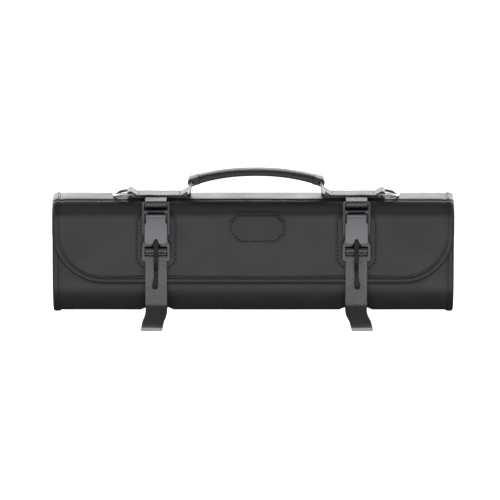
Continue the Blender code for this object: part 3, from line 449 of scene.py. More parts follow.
def turn_segments():
    """Rows of (start, length, y, z, angle, radius, quarter). A straight has radius 0."""
    step = PITCH / 4
    radii = [r + (i + 0.5) * step for i, r in enumerate(CORNER_RADII)]
    top, back, bottom = TOP + step, BACK - 2 * step, BOTTOM - 3 * step
    centres = (
        (top - radii[0], FRONT - radii[0]),
        (top - radii[1], back + radii[1]),
        (bottom + radii[2], back + radii[2]),
        (bottom + radii[3], FRONT - radii[3]),
    )
    rows, start, here = [], 0.0, (SHEET_START, FRONT)
    for i, (radius, centre) in enumerate(zip(radii, centres)):
        angle = math.pi / 2 - i * math.pi / 2
        entry = (centre[0] + radius * math.cos(angle), centre[1] + radius * math.sin(angle))
        rows.append((start, math.dist(here, entry), *here, angle, 0.0, i))
        start += rows[-1][1]
        rows.append((start, radius * math.pi / 2, *centre, angle, radius, i))
        start += rows[-1][1]
        angle -= math.pi / 2
        here = (centre[0] + radius * math.cos(angle), centre[1] + radius * math.sin(angle))
    rows.append((start, SHEET_START - here[0], *here, math.pi / 2, 0.0, 4))
    return rows


SEGMENTS = turn_segments()
TOP_CORNER, TOP_STRAIGHT, BOTTOM_CORNER = SEGMENTS[1], SEGMENTS[2], SEGMENTS[7]
TURN = SEGMENTS[-1][0] + SEGMENTS[-1][1]
print(f"one turn is {TURN / MM:.1f} mm round")


# %% Points on the wound surface
def on_roll(s, height=0.0):
    """Arrays of y, z and the outward angle, at s round the roll and a height above the sheet."""
    s = np.atleast_1d(np.asarray(s, float))
    turn, rest = np.divmod(s, TURN)
    y, z, angle, inset = (np.zeros_like(rest) for _ in range(4))
    for start, length, y0, z0, first, radius, quarter in SEGMENTS:
        here = rest >= start - 1e-9
        share = np.minimum((rest[here] - start) / length, 1.0)
        if radius:
            angle[here] = first - share * math.pi / 2
            y[here] = y0 + radius * np.cos(angle[here])
            z[here] = z0 + radius * np.sin(angle[here])
            inset[here] = quarter + share * share * (3 - 2 * share)
        else:
            angle[here] = first
            y[here] = y0 + share * length * math.sin(first)
            z[here] = z0 - share * length * math.cos(first)
            inset[here] = quarter
    out = height - PITCH * (turn + inset / 4)
    return y + out * np.cos(angle), z + out * np.sin(angle), angle


def unwound_length(last):
    s = np.linspace(0, last, 4000)
    y, z, _ = on_roll(s)
    return float(np.hypot(np.diff(y), np.diff(z)).sum())


def s_at_length(length):
    low, high = 0.0, 3 * TURN
    for _ in range(30):
        middle = (low + high) / 2
        low, high = (middle, high) if unwound_length(middle) < length else (low, middle)
    return low


SHEET_END = s_at_length(OPENED_LENGTH - 2 * BINDING_REACH)
print(f"the sheet ends after {SHEET_END / TURN:.2f} turns")

# %% [markdown]
# Leather over knives and pockets is never quite flat. It swells a little between the straps, sinks
# beside the buckle pads, where the straps pull it in, and is folded to a shallow line where the
# flap turns over the top. The flap's free edge lifts slightly, and presses a line into the turn
# below. The ends droop along the top, and the bottom bulges beside the straps. All of this is one
# number, the rise of the sheet at a place, and everything sewn to the sheet uses it too.

# %% How far the sheet rises or sinks
STRAP_X = {side: sum(c.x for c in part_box(f"buckle_tongue_{side}")) / 2 for side in ("left", "right")}
MIDDLE_X = (STRAP_X["left"] + STRAP_X["right"]) / 2
SIDE_SIGN = {"left": -1, "right": 1}
OUTER_LAYER_FADE = (0.73, 0.93)  # shares of a turn over which the outer layer's swells fade out
SWELL = 0.9 * MM
SWELL_S, SWELL_LENGTH = 38 * MM, 48 * MM
WAVES = 0.5 * MM
WAVES_PER_METRE = (14, 17)
STRAP_DENT = 0.9 * MM
STRAP_DENT_WIDTH = 26 * MM
FLAP_LIFT = 0.8 * MM
FLAP_LIFT_LENGTH = 30 * MM
CREASE_FROM_TOP = 23
CREASE = TOP_CORNER[0] + TOP_CORNER[5] * math.radians(90 - CREASE_FROM_TOP)
CREASE_DEPTH = 0.9 * MM
CREASE_HALF_WIDTH = 2.5 * MM
END_DROP = 3.2 * MM
END_DROP_LENGTH = 15 * MM
END_DROP_ROUND = 55 * MM
EDGE_PRESS = 1.4 * MM
EDGE_PRESS_WIDTH = 3.5 * MM
EDGE_PRESS_FROM_END = (8 * MM, 22 * MM)
LOOP_SINK = 1.7 * MM
LOOP_SINK_S = TOP_CORNER[0] + TOP_CORNER[5] * math.radians(72)
LOOP_SINK_LENGTH = 13 * MM
LOOP_SINK_FROM_STRAP = (16 * MM, 13 * MM)
BELLY = 3.2 * MM
BELLY_S = BOTTOM_CORNER[0] + BOTTOM_CORNER[1] * 0.15
BELLY_LENGTH = 24 * MM
BELLY_FROM_STRAP = (13 * MM, 18 * MM)


def hump(value, middle, length):
    return np.exp(-(((value - middle) / length) ** 2))


def ramp(value, first, last):
    """0 at the first value and 1 at the last, and held beyond both."""
    return np.clip((value - first) / (last - first), 0, 1)


def under_flap_edge(s, x):
    """Distance from the flap's free edge, on the turn below it."""
    down, out = s - TURN - FLAP_CORNER, np.abs(x) - (SHEET_HALF - FLAP_CORNER)
    rounded = FLAP_CORNER - np.hypot(down, out)
    return np.where((out > 0) & (down < 0), rounded, s - TURN)


def rise(s, x):
    """Height that the soft sheet gains at s and x, against the even spiral. Arrays in, array out."""
    s, x = np.broadcast_arrays(np.asarray(s, float), np.asarray(x, float))
    from_straps = np.array([np.abs(x - at) for at in STRAP_X.values()])
    from_end = SHEET_HALF - np.abs(x)

    outer = 1 - ramp(s / TURN, *OUTER_LAYER_FADE)
    front = hump(s, SWELL_S, SWELL_LENGTH)
    pulled = np.clip(hump(from_straps, 0, STRAP_DENT_WIDTH).sum(axis=0), 0, 1)
    a, b = WAVES_PER_METRE
    waves = [noise.noise(Vector((at * a, round_at * b, 0.3))) for at, round_at in zip(x.flat, s.flat)]
    waves = WAVES * np.array(waves).reshape(x.shape)
    lift = FLAP_LIFT * np.clip(1 - s / FLAP_LIFT_LENGTH, 0, 1) ** 2
    swell = (SWELL * front + waves + lift) * (1 - pulled) - STRAP_DENT * front * pulled

    fold = CREASE_DEPTH * np.clip(1 - np.abs(s - CREASE) / CREASE_HALF_WIDTH, 0, 1)
    droop = np.clip(1 - from_end / END_DROP_LENGTH, 0, 1) ** 2 * hump(s % TURN, CREASE, END_DROP_ROUND)
    press = hump(under_flap_edge(s, x), 0, EDGE_PRESS_WIDTH) * ramp(from_end, *EDGE_PRESS_FROM_END)
    under_loop = ramp(from_straps, *LOOP_SINK_FROM_STRAP).sum(axis=0)
    sink = LOOP_SINK * hump(s, LOOP_SINK_S, LOOP_SINK_LENGTH) * under_loop
    beside = ramp(from_straps, *BELLY_FROM_STRAP).min(axis=0)
    belly = BELLY * hump(s, BELLY_S, BELLY_LENGTH) * beside**2 * (3 - 2 * beside)
    return swell * outer + belly - fold - END_DROP * droop - EDGE_PRESS * press - sink


def lay_on_roll(obj):
    """Moves a flat mesh, drawn as (x, s, height), onto the roll."""
    flat = np.empty(len(obj.data.vertices) * 3, np.float32)
    obj.data.vertices.foreach_get("co", flat)
    x, s, height = flat.reshape(-1, 3).T.astype(float)
    y, z, _ = on_roll(s, height + rise(s, x))
    obj.data.vertices.foreach_set("co", np.column_stack((x, y, z)).astype(np.float32).reshape(-1))
    obj.data.update()
    return obj


print("rise between the straps, mm:", round(float(rise(40 * MM, MIDDLE_X)) / MM, 2))

# %% [markdown]
# ## The leather sheet
#
# A grid is the flat cut: its rows run along the roll, and each row is only as wide as the rounded
# corners leave it. It is laid on the spiral, then Solidify gives the leather and its lining their
# thickness. Rolling a flat grid this way keeps the sheet one true piece, as the real one is.

# %% Rows of the sheet
def half_length(s):
    """Half the sheet's length along x at s, with its four rounded corners."""
    from_end = np.minimum(s, SHEET_END - s)
    along = np.clip(1 - from_end / FLAP_CORNER, 0, 1)
    return SHEET_HALF - FLAP_CORNER * (1 - np.sqrt(1 - along**2)), along


def sheet_rows(step):
    """Stations along s, closer together round the corners and at the fold."""
    ends = [FLAP_CORNER * (1 - math.cos(a)) for a in np.linspace(0, math.pi / 2, 20)]
    fold = [CREASE + CREASE_HALF_WIDTH * k for k in (-1, -0.5, 0, 0.5, 1)]
    rows = [*np.arange(0, SHEET_END, step), *ends, *[SHEET_END - e for e in ends], *fold, SHEET_END]
    rows = np.array(sorted(rows))
    return rows[np.concatenate(([True], np.diff(rows) > 0.15 * MM))]


SHEET_ROWS = sheet_rows(2.4 * MM)
print("rows of the sheet:", len(SHEET_ROWS))

# %% Cut, roll and thicken the sheet
across = np.linspace(-1, 1, 61)
half, _ = half_length(SHEET_ROWS)
cut = np.stack(np.broadcast_arrays(across * half[:, None], SHEET_ROWS[:, None], 0.0), axis=-1)
leather_sheet = lay_on_roll(grid_piece("leather_sheet", cut, cut[:, :, :2]))
apply_modifier(
    leather_sheet, "SOLIDIFY",
    thickness=SHEET_THICKNESS, offset=-1, use_even_offset=True, material_offset=1,
)
finish_piece(leather_sheet, [LEATHER, LINING], ["roll_shell"])
print("leather sheet faces:", len(leather_sheet.data.polygons))

# %% [markdown]
# ## Binding
#
# The raw edge is hidden by a tape folded over it, one leg on each face. Its section is a narrow U.
# The U is swept once round the whole edge as a long closed strip, and Solidify makes it leather.
# The line of the stitches is pressed a little way in, which is what makes a sewn edge look sewn.

# %% The folded tape
BINDING_THICKNESS = 0.9 * MM
STITCH_LINE = 5.4 * MM
STITCH_LIFT = 1.05 * MM
TAPE_SECTION = MM * np.array([
    # out from the sheet's edge and above its outer face, in millimetres
    (-7, 0.5), (-6.3, 0.8), (-5.4, 0.45), (-4.5, 0.95), (-2.5, 1.15), (-0.6, 0.95), (0.35, 0.4),
    (0.85, -0.6), (0.85, -2.6), (0.35, -3.6), (-0.6, -4.0), (-3, -4.0), (-7, -3.85),
])


def edge_line(side, s):
    """Half length and the outward direction in (s, x) at the sheet's edge."""
    half, along = half_length(s)
    out_s = np.where(s < SHEET_END / 2, -along, along)
    return side * half, out_s, side * np.sqrt(1 - along**2)


def around_edge(out, height):
    """(x, s, height) once round the sheet's edge, at a distance out from it."""
    runs = []
    for side, rows in ((1, SHEET_ROWS), (-1, SHEET_ROWS[::-1])):
        x, out_s, out_x = edge_line(side, rows)
        runs.append(np.column_stack((x + out * out_x, rows + out * out_s, np.full_like(rows, height))))
    loop = np.concatenate(runs)
    return np.concatenate((loop, loop[:1]))


tape = np.stack([around_edge(out, height) for out, height in TAPE_SECTION], axis=1)
edge_tape = lay_on_roll(grid_piece("edge_tape", tape, tape[:, :, :2]))
merge_seam(edge_tape)
apply_modifier(edge_tape, "SOLIDIFY", thickness=BINDING_THICKNESS, offset=0, use_even_offset=True)
finish_piece(edge_tape, [TRIM], ["edge_binding"], smooth=50)
print("edge tape faces:", len(edge_tape.data.polygons))

# %% [markdown]
# ## Stitches
#
# One stitch is modelled once: a small sphere drawn out to a grain of thread. A row of stitches is
# many copies of it in one mesh, laid end to end along a line, each turned to follow the line and
# half sunk into the leather. Hundreds of them stay light because each has only a few dozen faces.

# %% One stitch, and rows of it
STITCH_PITCH = 3.8 * MM
STITCH_SIZE = (0.95 * MM, 2.7 * MM, 0.6 * MM)
bpy.ops.mesh.primitive_uv_sphere_add(segments=8, ring_count=6, radius=0.5)
one_stitch = bpy.context.object
one_stitch.scale = STITCH_SIZE
bpy.ops.object.transform_apply(location=False, rotation=False, scale=True)
STITCH_POINTS = np.array([v.co for v in one_stitch.data.vertices])
STITCH_FACES = [tuple(p.vertices) for p in one_stitch.data.polygons]
bpy.data.objects.remove(one_stitch, do_unlink=True)


def spaced(line, up, pitch):
    """Places at an even pitch along a line of points, with the run and the up direction there."""
    line, up = np.asarray(line, float), np.asarray(up, float)
    run = np.concatenate(([0], np.cumsum(np.linalg.norm(np.diff(line, axis=0), axis=1))))
    count = max(1, int(run[-1] // pitch))
    at = (np.arange(count) + 0.5) * run[-1] / count

    def along(values, where):
        return np.column_stack([np.interp(where, run, values[:, i]) for i in range(3)])

    near = 0.3 * pitch
    return along(line, at), along(line, at + near) - along(line, at - near), along(up, at)


def stitch_rows(name, lines, pitch=STITCH_PITCH):
    """One mesh of stitches along lines, each given as its points and its up directions."""
    points, faces = [], []
    for line, up in lines:
        for place, run, above in zip(*spaced(line, up, pitch)):
            along = run / np.linalg.norm(run)
            side = np.cross(along, above)
            side /= np.linalg.norm(side)
            turned = STITCH_POINTS @ np.array([side, along, np.cross(side, along)]) + place
            faces += [tuple(i + len(points) * len(STITCH_POINTS) for i in face) for face in STITCH_FACES]
            points.append(turned)
    mesh = bpy.data.meshes.new(name)
    mesh.from_pydata(np.concatenate(points).tolist(), [], faces)
    obj = bpy.data.objects.new(name, mesh)
    bpy.context.scene.collection.objects.link(obj)
    finish_piece(obj, [THREAD])
    print(name, "has", len(points), "stitches")


def line_on_roll(flat):
    """A line of (x, s, height) places on the roll, with its outward directions."""
    x, s, height = np.asarray(flat, float).T
    y, z, angle = on_roll(s, height + rise(s, x))
    return np.column_stack((x, y, z)), np.column_stack((np.zeros_like(x), np.cos(angle), np.sin(angle)))


stitch_rows("binding_stitches", [line_on_roll(around_edge(-STITCH_LINE, STITCH_LIFT))])

# %% [markdown]
# ## Lining flap
#
# A lining flap covers the knives inside. In the closed roll only its edge shows, deep in the spiral
# at either end, so a plain rolled sheet of the same cloth is enough.

# %% The flap inside the roll
INNER_START = 140 * MM
INNER_MARGIN = 12 * MM
INNER_THICKNESS = 1.2 * MM
inner_rows = np.linspace(INNER_START, SHEET_END - INNER_MARGIN, 190)
inner_radius = FLAP_CORNER - INNER_MARGIN
curl = np.clip(1 - (inner_rows[-1] - inner_rows) / inner_radius, 0, 1)
inner_half = SHEET_HALF - INNER_MARGIN - inner_radius * (1 - np.sqrt(1 - curl**2))
across = np.linspace(-1, 1, 31)
flap = np.stack(np.broadcast_arrays(across * inner_half[:, None], inner_rows[:, None], 0.0), axis=-1).copy()
flap[:, :, 2] = -SHEET_THICKNESS - CLEARANCE
lining_flap = lay_on_roll(grid_piece("lining_flap", flap, flap[:, :, :2]))
apply_modifier(lining_flap, "SOLIDIFY", thickness=INNER_THICKNESS, offset=-1, use_even_offset=True)
finish_piece(lining_flap, [LINING], ["inner_flap"])
print("lining flap faces:", len(lining_flap.data.polygons))

# %% [markdown]
# ## Sewn patches
#
# The label and the two buckle pads are eight-sided leather patches sewn on the front. Each starts
# as a block. Its four upright edges are bevelled to cut the corners off, and its upper face is
# inset in steps: a rounded rim, then the pressed line that the stitches lie in, then the field.
# Cuts across it let it bend over the roll's corner with the sheet.

# %% Eight-sided patches
PATCH_HEIGHT = 1.2 * MM
PATCH_LIFT = 0.1 * MM
PATCH_RIM = 1.5 * MM
PATCH_GROOVE = 1.1 * MM
PATCH_STEPS = (
    # inset, rise
    (0.35 * MM, 0.30 * MM),
    (PATCH_RIM - 0.7 * MM, 0.06 * MM),
    (0.5 * MM, -0.30 * MM),
    (PATCH_GROOVE, 0.0),
    (0.5 * MM, 0.22 * MM),
    (1.4 * MM, 0.05 * MM),
)
PATCH_STITCH_PITCH = 4.6 * MM
PATCH_STITCH_LIFT = 0.2 * MM
CUTS_ROUND = (2 * MM, 2.5 * MM)  # the first one from the edge, and the distance between them
CUTS_ALONG = (3 * MM, 4 * MM)


def cut_across(low, high, cuts, direction):
    """In edit mode, cuts the mesh at even steps along a direction, so that it can bend there."""
    for cut_at in np.arange(low + cuts[0], high, cuts[1]):
        bpy.ops.mesh.select_all(action="SELECT")
        bpy.ops.mesh.bisect(plane_co=[cut_at * d for d in direction], plane_no=direction)


def sewn_patch(name, node, x, bottom, width, height, chamfer):
    """A patch laid on the front. Bottom is its height above the roll's bottom side."""
    first = BOTTOM + bottom - SHEET_START
    bpy.ops.mesh.primitive_cube_add(size=1, location=(x, first + height / 2, PATCH_HEIGHT / 2 + PATCH_LIFT))
    obj = bpy.context.object
    obj.name = obj.data.name = name
    obj.scale = (width, height, PATCH_HEIGHT)
    bpy.ops.object.transform_apply(location=True, rotation=True, scale=True)
    bpy.ops.object.mode_set(mode="EDIT")
    choose("EDGE", lambda e: abs(e.verts[0].co.z - e.verts[1].co.z) > 0.5 * PATCH_HEIGHT)
    bpy.ops.mesh.bevel(offset=chamfer, offset_type="OFFSET", segments=1, affect="EDGES")
    choose("FACE", lambda f: f.normal.z > 0.9)
    for inset, lift in PATCH_STEPS:
        bpy.ops.mesh.inset(thickness=inset, depth=lift)
    cut_across(first, first + height, CUTS_ROUND, (0, 1, 0))
    cut_across(x - width / 2, x + width / 2, CUTS_ALONG, (1, 0, 0))
    bpy.ops.object.mode_set(mode="OBJECT")
    lay_on_roll(obj)
    finish_piece(obj, [TRIM], [node], smooth=30)

    inner = PATCH_RIM + PATCH_GROOVE / 2
    a, b = width / 2 - inner, height / 2 - inner
    c = chamfer - inner * (2 - math.sqrt(2))
    upper = [(a, b - c), (a - c, b), (c - a, b), (-a, b - c)]
    corners = upper + [(u, -v) for u, v in reversed(upper)]
    sides = []
    for p, q in zip(corners, corners[1:] + corners[:1]):
        share = np.linspace(0, 1, 12)[:, None]
        line = np.array(p) * (1 - share) + np.array(q) * share + (x, first + height / 2)
        sides.append(line_on_roll(np.insert(line, 2, PATCH_HEIGHT + PATCH_STITCH_LIFT, axis=1)))
    stitch_rows(name + "_stitches", sides, PATCH_STITCH_PITCH)
    return obj


LABEL_OFFSET = 1.6 * MM
label = sewn_patch("label", "label_patch", MIDDLE_X + LABEL_OFFSET, 84.5 * MM, 64 * MM, 35 * MM, 11 * MM)
for side, x in STRAP_X.items():
    sewn_patch(f"strap_pad_{side}", f"buckle_pad_{side}", x, 52.5 * MM, 47 * MM, 69 * MM, 9 * MM)
print("label faces:", len(label.data.polygons))

# %% [markdown]
# ## Webbing straps
#
# The girth strap starts under the handle's band, runs down the back and round the bottom, crosses
# the flap's edge, rises through the buckle's window round its bar, and hangs down as a tail. A
# short upper strap loops round the buckle's top bar. Both are flat strips that follow a drawn
# line. Solidify gives the webbing its thickness and a small bevel rounds its edges. The flat
# coordinates are kept as a UV map, so that the weave follows each strap through its bends.

# %% Lines with rounded corners
STRIP_STEP = 2.5 * MM
TAIL_WAVE_SCALE = (45, 1.5, 90)  # along the strap, across it and from strap to strap


def rounded_path(corners, step=math.radians(8)):
    """Points along (y, z, radius) corners, with each corner replaced by an arc."""
    path = [Vector(corners[0][:2])]
    for before, corner, after in zip(corners, corners[1:], corners[2:]):
        here = Vector(corner[:2])
        towards = (Vector(before[:2]) - here).normalized()
        away = (Vector(after[:2]) - here).normalized()
        half = towards.angle(away) / 2
        middle = here + (towards + away).normalized() * corner[2] / math.sin(half)
        spoke = here + towards * corner[2] / math.tan(half) - middle
        turn = math.pi - 2 * half
        if towards.x * away.y - towards.y * away.x > 0:
            turn = -turn
        steps = max(2, math.ceil(abs(turn) / step))
        path += [middle + Matrix.Rotation(turn * i / steps, 2) @ spoke for i in range(steps + 1)]
    return path + [Vector(corners[-1][:2])]


def refined(path, step):
    """The path with its long straights cut into steps, and the run to each point."""
    made = [path[0]]
    for a, b in zip(path, path[1:]):
        count = max(1, math.ceil((b - a).length / step))
        made += [a.lerp(b, (i + 1) / count) for i in range(count) if (b - a).length > 1e-7]
    run = np.concatenate(([0], np.cumsum([(b - a).length for a, b in zip(made, made[1:])])))
    return np.array([tuple(p) for p in made]), run


def strap_piece(name, path, width, thickness, x, material, nodes, lean=0.0, lean_from=1.0, waves=0.0):
    """A flat strap along a (y, z) path. Its width is a number or a function of the run from the start."""
    line, run = refined(path, STRIP_STEP)
    share = run / run[-1]
    wide = np.array([width(r) if callable(width) else width for r in run])
    past = np.clip((share - lean_from) / (1 - lean_from), 0, 1) if lean_from < 1 else 0 * share
    across = np.linspace(-0.5, 0.5, 11)
    points = np.empty((len(line), len(across), 3))
    points[:, :, 0] = x + across * wide[:, None] + (lean * past**2)[:, None]
    points[:, :, 1:] = line[:, None, :]
    if waves:
        u, v, w = TAIL_WAVE_SCALE
        slow = [[noise.noise(Vector((r * u, a * v, x * w))) for a in across] for r in run]
        points[:, :, 2] += waves * np.array(slow) * past[:, None]
    uv = np.stack(np.broadcast_arrays(across * wide[:, None], run[:, None]), axis=-1)
    obj = grid_piece(name, points, uv)
    apply_modifier(obj, "SOLIDIFY", thickness=thickness, offset=0, use_even_offset=True)
    apply_modifier(obj, "BEVEL", width=0.3 * thickness, segments=2, limit_method="ANGLE", angle_limit=1.0)
    finish_piece(obj, [material], nodes, smooth=50)
    return obj


print("straps at x, mm:", [round(x / MM, 1) for x in STRAP_X.values()])

# %% [markdown]
# A buckle is drawn flat and then placed: q runs up it from its lower edge and h is the height above
# its underside. It lies tilted by five degrees, with its lower end proud of the flap.

# %% Where the buckle lies
BUCKLE_TILT = math.radians(5)
BUCKLE_LIFT = 6.4 * MM
BUCKLE_FOOT = Vector((0, BOTTOM + 64.2 * MM, FRONT + BUCKLE_LIFT))
BOTTOM_BAR = 5.7 * MM
WINDOW_LENGTH = 11.4 * MM
WINDOW_WIDTH = 25.8 * MM
NOTCH_DEPTH = 9 * MM
MIDDLE_BAR_SHARE = 0.56
MIDDLE_BAR_Q = BOTTOM_BAR + MIDDLE_BAR_SHARE * WINDOW_LENGTH
MIDDLE_BAR_RISE = 1.1 * MM
MIDDLE_BAR_DIAMETER = 2.6 * MM
WEB = 1.5 * MM
WEB_WIDTH = 25 * MM
LOOP_RADIUS = MIDDLE_BAR_DIAMETER / 2 + CLEARANCE + WEB / 2
ON_FRONT = PATCH_HEIGHT + 2 * CLEARANCE
HANDLE_LINE = 40.5 * MM
BAND_WIDTH = 25 * MM


def buckle_place(q, h):
    """(y, z) of a point of the buckle."""
    return (
        BUCKLE_FOOT.y + q * math.cos(BUCKLE_TILT) + h * math.sin(BUCKLE_TILT),
        BUCKLE_FOOT.z - q * math.sin(BUCKLE_TILT) + h * math.cos(BUCKLE_TILT),
    )


print("the ladder bar is at", [round(v / MM, 1) for v in buckle_place(MIDDLE_BAR_Q, MIDDLE_BAR_RISE)])

# %% Girth straps
TAIL_REACH = 36.5 * MM
TAIL_END = BOTTOM - TAIL_REACH
HIGHLIGHT_END_LENGTH = 3.2 * MM
TAIL_LEAN = {"left": -7 * MM, "right": 9 * MM}
TAIL_LEAN_FROM = 0.82
TAIL_WAVES = 1.2 * MM
FLAP_EDGE_BEND = 5 * MM
STRAP_BEND = 8 * MM
TAIL_OUT_OF_BUCKLE = 2 * MM
TAIL_SETTLED = 17 * MM
TAIL_PAST_EDGE = 1.5 * MM
TAIL_EDGE_BEND = 9 * MM
TAIL_FALL, TAIL_FALL_LIFT, TAIL_FALL_BEND = 9 * MM, 1.2 * MM, 7 * MM
TAIL_LANDING, TAIL_LANDING_LIFT, TAIL_LANDING_BEND = 11 * MM, 1 * MM, 16 * MM


def girth_path():
    half = WEB / 2
    n = CLEARANCE + half
    back_start = TOP_STRAIGHT[0] + TOP_STRAIGHT[3] - (HANDLE_LINE - BAND_WIDTH / 2 - CLEARANCE)
    _, _, cy, cz, _, radius, _ = BOTTOM_CORNER
    over_flap = (FLAP_EDGE - CLEARANCE, FRONT + ON_FRONT + half)
    reach = math.dist((cy, cz), over_flap)
    size = radius - PITCH * 7 / 8 + n
    leave = math.atan2(over_flap[1] - cz, over_flap[0] - cy) + math.acos(size / reach)
    last = BOTTOM_CORNER[0] + radius * (math.pi - leave)
    y, z, _ = on_roll(np.linspace(back_start, last, 90), n)
    wrap = [Vector(p) for p in zip(y, z)]
    front, back = MIDDLE_BAR_Q + LOOP_RADIUS, MIDDLE_BAR_Q - LOOP_RADIUS
    top = MIDDLE_BAR_RISE + LOOP_RADIUS
    settled = over_flap[1] + WEB + CLEARANCE
    corners = [
        (*wrap[-1], 0),
        (*over_flap, FLAP_EDGE_BEND),
        (buckle_place(front, 0)[0], over_flap[1], LOOP_RADIUS),
        (*buckle_place(front, top), LOOP_RADIUS),
        (*buckle_place(back, top), LOOP_RADIUS),
        (*buckle_place(back, -n), WEB),
        (*buckle_place(-TAIL_OUT_OF_BUCKLE, -n), STRAP_BEND),
        (FLAP_EDGE + TAIL_SETTLED, settled, STRAP_BEND),
        (FLAP_EDGE - TAIL_PAST_EDGE, settled, TAIL_EDGE_BEND),
        (BOTTOM + TAIL_FALL, FRONT + TAIL_FALL_LIFT, TAIL_FALL_BEND),
        (TAIL_END + TAIL_LANDING, half + TAIL_LANDING_LIFT, TAIL_LANDING_BEND),
        (TAIL_END, half, 0),
    ]
    return wrap + rounded_path(corners)[1:]


for side, x in STRAP_X.items():
    strap = strap_piece(
        f"webbing_strap_{side}", girth_path(), WEB_WIDTH, WEB, x, WEBBING,
        [f"girth_strap_{side}"], TAIL_LEAN[side], TAIL_LEAN_FROM, TAIL_WAVES,
    )
    strap.data.materials.append(WEBBING_END_HIGHLIGHT)
    # The tail's end gets the pale painted highlight
    for polygon in strap.data.polygons:
        if polygon.center.y < TAIL_END + HIGHLIGHT_END_LENGTH:
            polygon.material_index = 1
print("girth strap faces:", len(strap.data.polygons))

# %% Upper straps
BUCKLE_LENGTH = 68.2 * MM
TOP_BAR_INSET = 2.2 * MM
TOP_BAR_Q = BUCKLE_LENGTH - TOP_BAR_INSET
TOP_BAR_DIAMETER = 4 * MM
FRAME_THICKNESS = 4.6 * MM
LOOP_WIDTH = WEB_WIDTH - 0.6 * MM
LOOP_LAYER_GAP = 0.1 * MM


def upper_path():
    _, _, cy, cz, _, radius, _ = TOP_CORNER
    low = radius - PITCH / 8 - LOOP_SINK + CLEARANCE + WEB / 2
    high = low + WEB + LOOP_LAYER_GAP
    bar = buckle_place(TOP_BAR_Q, FRAME_THICKNESS / 2)
    turn = TOP_BAR_DIAMETER / 2 + CLEARANCE + WEB / 2
    reach = math.dist((cy, cz), bar)
    towards = math.atan2(bar[1] - cz, bar[0] - cy)
    leave = towards - math.acos((low + turn) / reach)
    back = towards - math.acos((high - turn) / reach)
    start = HANDLE_LINE + BAND_WIDTH / 2 + CLEARANCE

    def arc(middle, size, first, last, steps):
        return [
            Vector((middle[0] + size * math.cos(a), middle[1] + size * math.sin(a)))
            for a in np.linspace(first, last, steps + 1)
        ]

    path = arc((cy, cz), low, min(math.asin((start - cz) / low), leave), leave, 6)
    path += arc(bar, turn, leave + math.pi, back, 30)
    landing = Vector((cy + high * math.cos(back), cz + high * math.sin(back)))
    path.append(path[-1].lerp(landing, (path[-1].y - start) / (path[-1].y - landing.y)))
    return path


for side, x in STRAP_X.items():
    strap_piece(
        f"webbing_loop_{side}", upper_path(), LOOP_WIDTH, WEB, x, WEBBING,
        [f"upper_strap_{side}"],
    )
print("upper straps done")

# %% Leather pull tabs
TAB_THICKNESS = 1.6 * MM
TAB_FROM_NOTCH_END = 0.8 * MM
TAB_OUT_OF_BUCKLE = 1 * MM
TAB_BEND = 10 * MM
TAB_SETTLED = 15 * MM
TAB_PAST_EDGE = 1 * MM
TAB_LIFT = 0.2 * MM
TAB_PAST_FLAP = 5.5 * MM
TAB_END_DIP = 1.4 * MM
TAB_SWAY = 1.5 * MM
TAB_SWAY_FROM = 0.6
# Pairs of a distance from the head, or from the end, and the width there, in millimetres
TAB_WIDTHS = ((0, 2.4), (0.9, 3.5), (3.6, 3.5), (6.5, 5.0))
TAB_END_WIDTHS = ((12, 4.6), (7, 6.6), (2, 6.6), (0, 4.4))


def tab_path():
    half = TAB_THICKNESS / 2
    over = MIDDLE_BAR_RISE + LOOP_RADIUS + WEB / 2 + CLEARANCE + half
    head = BOTTOM_BAR + WINDOW_LENGTH + NOTCH_DEPTH - TAB_FROM_NOTCH_END
    on_tail = FRONT + ON_FRONT + 2 * WEB + 2 * CLEARANCE + half
    return rounded_path(
        [
            (*buckle_place(head, over), 0),
            (*buckle_place(-TAB_OUT_OF_BUCKLE, over), TAB_BEND / 2),
            (FLAP_EDGE + TAB_SETTLED, on_tail + TAB_LIFT, TAB_BEND),
            (FLAP_EDGE - TAB_PAST_EDGE, on_tail + TAB_LIFT, TAB_BEND),
            (FLAP_EDGE - TAB_PAST_FLAP, on_tail - TAB_END_DIP, 0),
        ]
    )


TAB_PATH = tab_path()
TAB_LENGTH = sum((b - a).length for a, b in zip(TAB_PATH, TAB_PATH[1:]))
TAB_RUNS = [r * MM for r, _ in TAB_WIDTHS] + [TAB_LENGTH - r * MM for r, _ in TAB_END_WIDTHS]
TAB_SIZES = [w * MM for _, w in (*TAB_WIDTHS, *TAB_END_WIDTHS)]


def tab_width(run):
    return float(np.interp(run, TAB_RUNS, TAB_SIZES))


for side, x in STRAP_X.items():
    strap_piece(
        f"pull_tab_strip_{side}", TAB_PATH, tab_width, TAB_THICKNESS, x, TAB_LEATHER,
        [f"pull_tab_{side}"], TAB_SWAY * SIDE_SIGN[side], TAB_SWAY_FROM,
    )
print(f"pull tabs are {TAB_LENGTH / MM:.0f} mm long")

# %% [markdown]
# ## Buckles
#
# Each buckle is two mouldings. The upper one is a shallow tray between two arms, with a bar for the
# upper strap. The lower one is a plate that lies in the tray and a ladder frame that the girth
# strap runs through. Each is built up from flat slabs: a circle primitive has its points moved to
# the drawn outline and is extruded, and Booleans join and cut the slabs. A last bevel gives the
# soft edges of a moulding, which is where plastic catches the light.

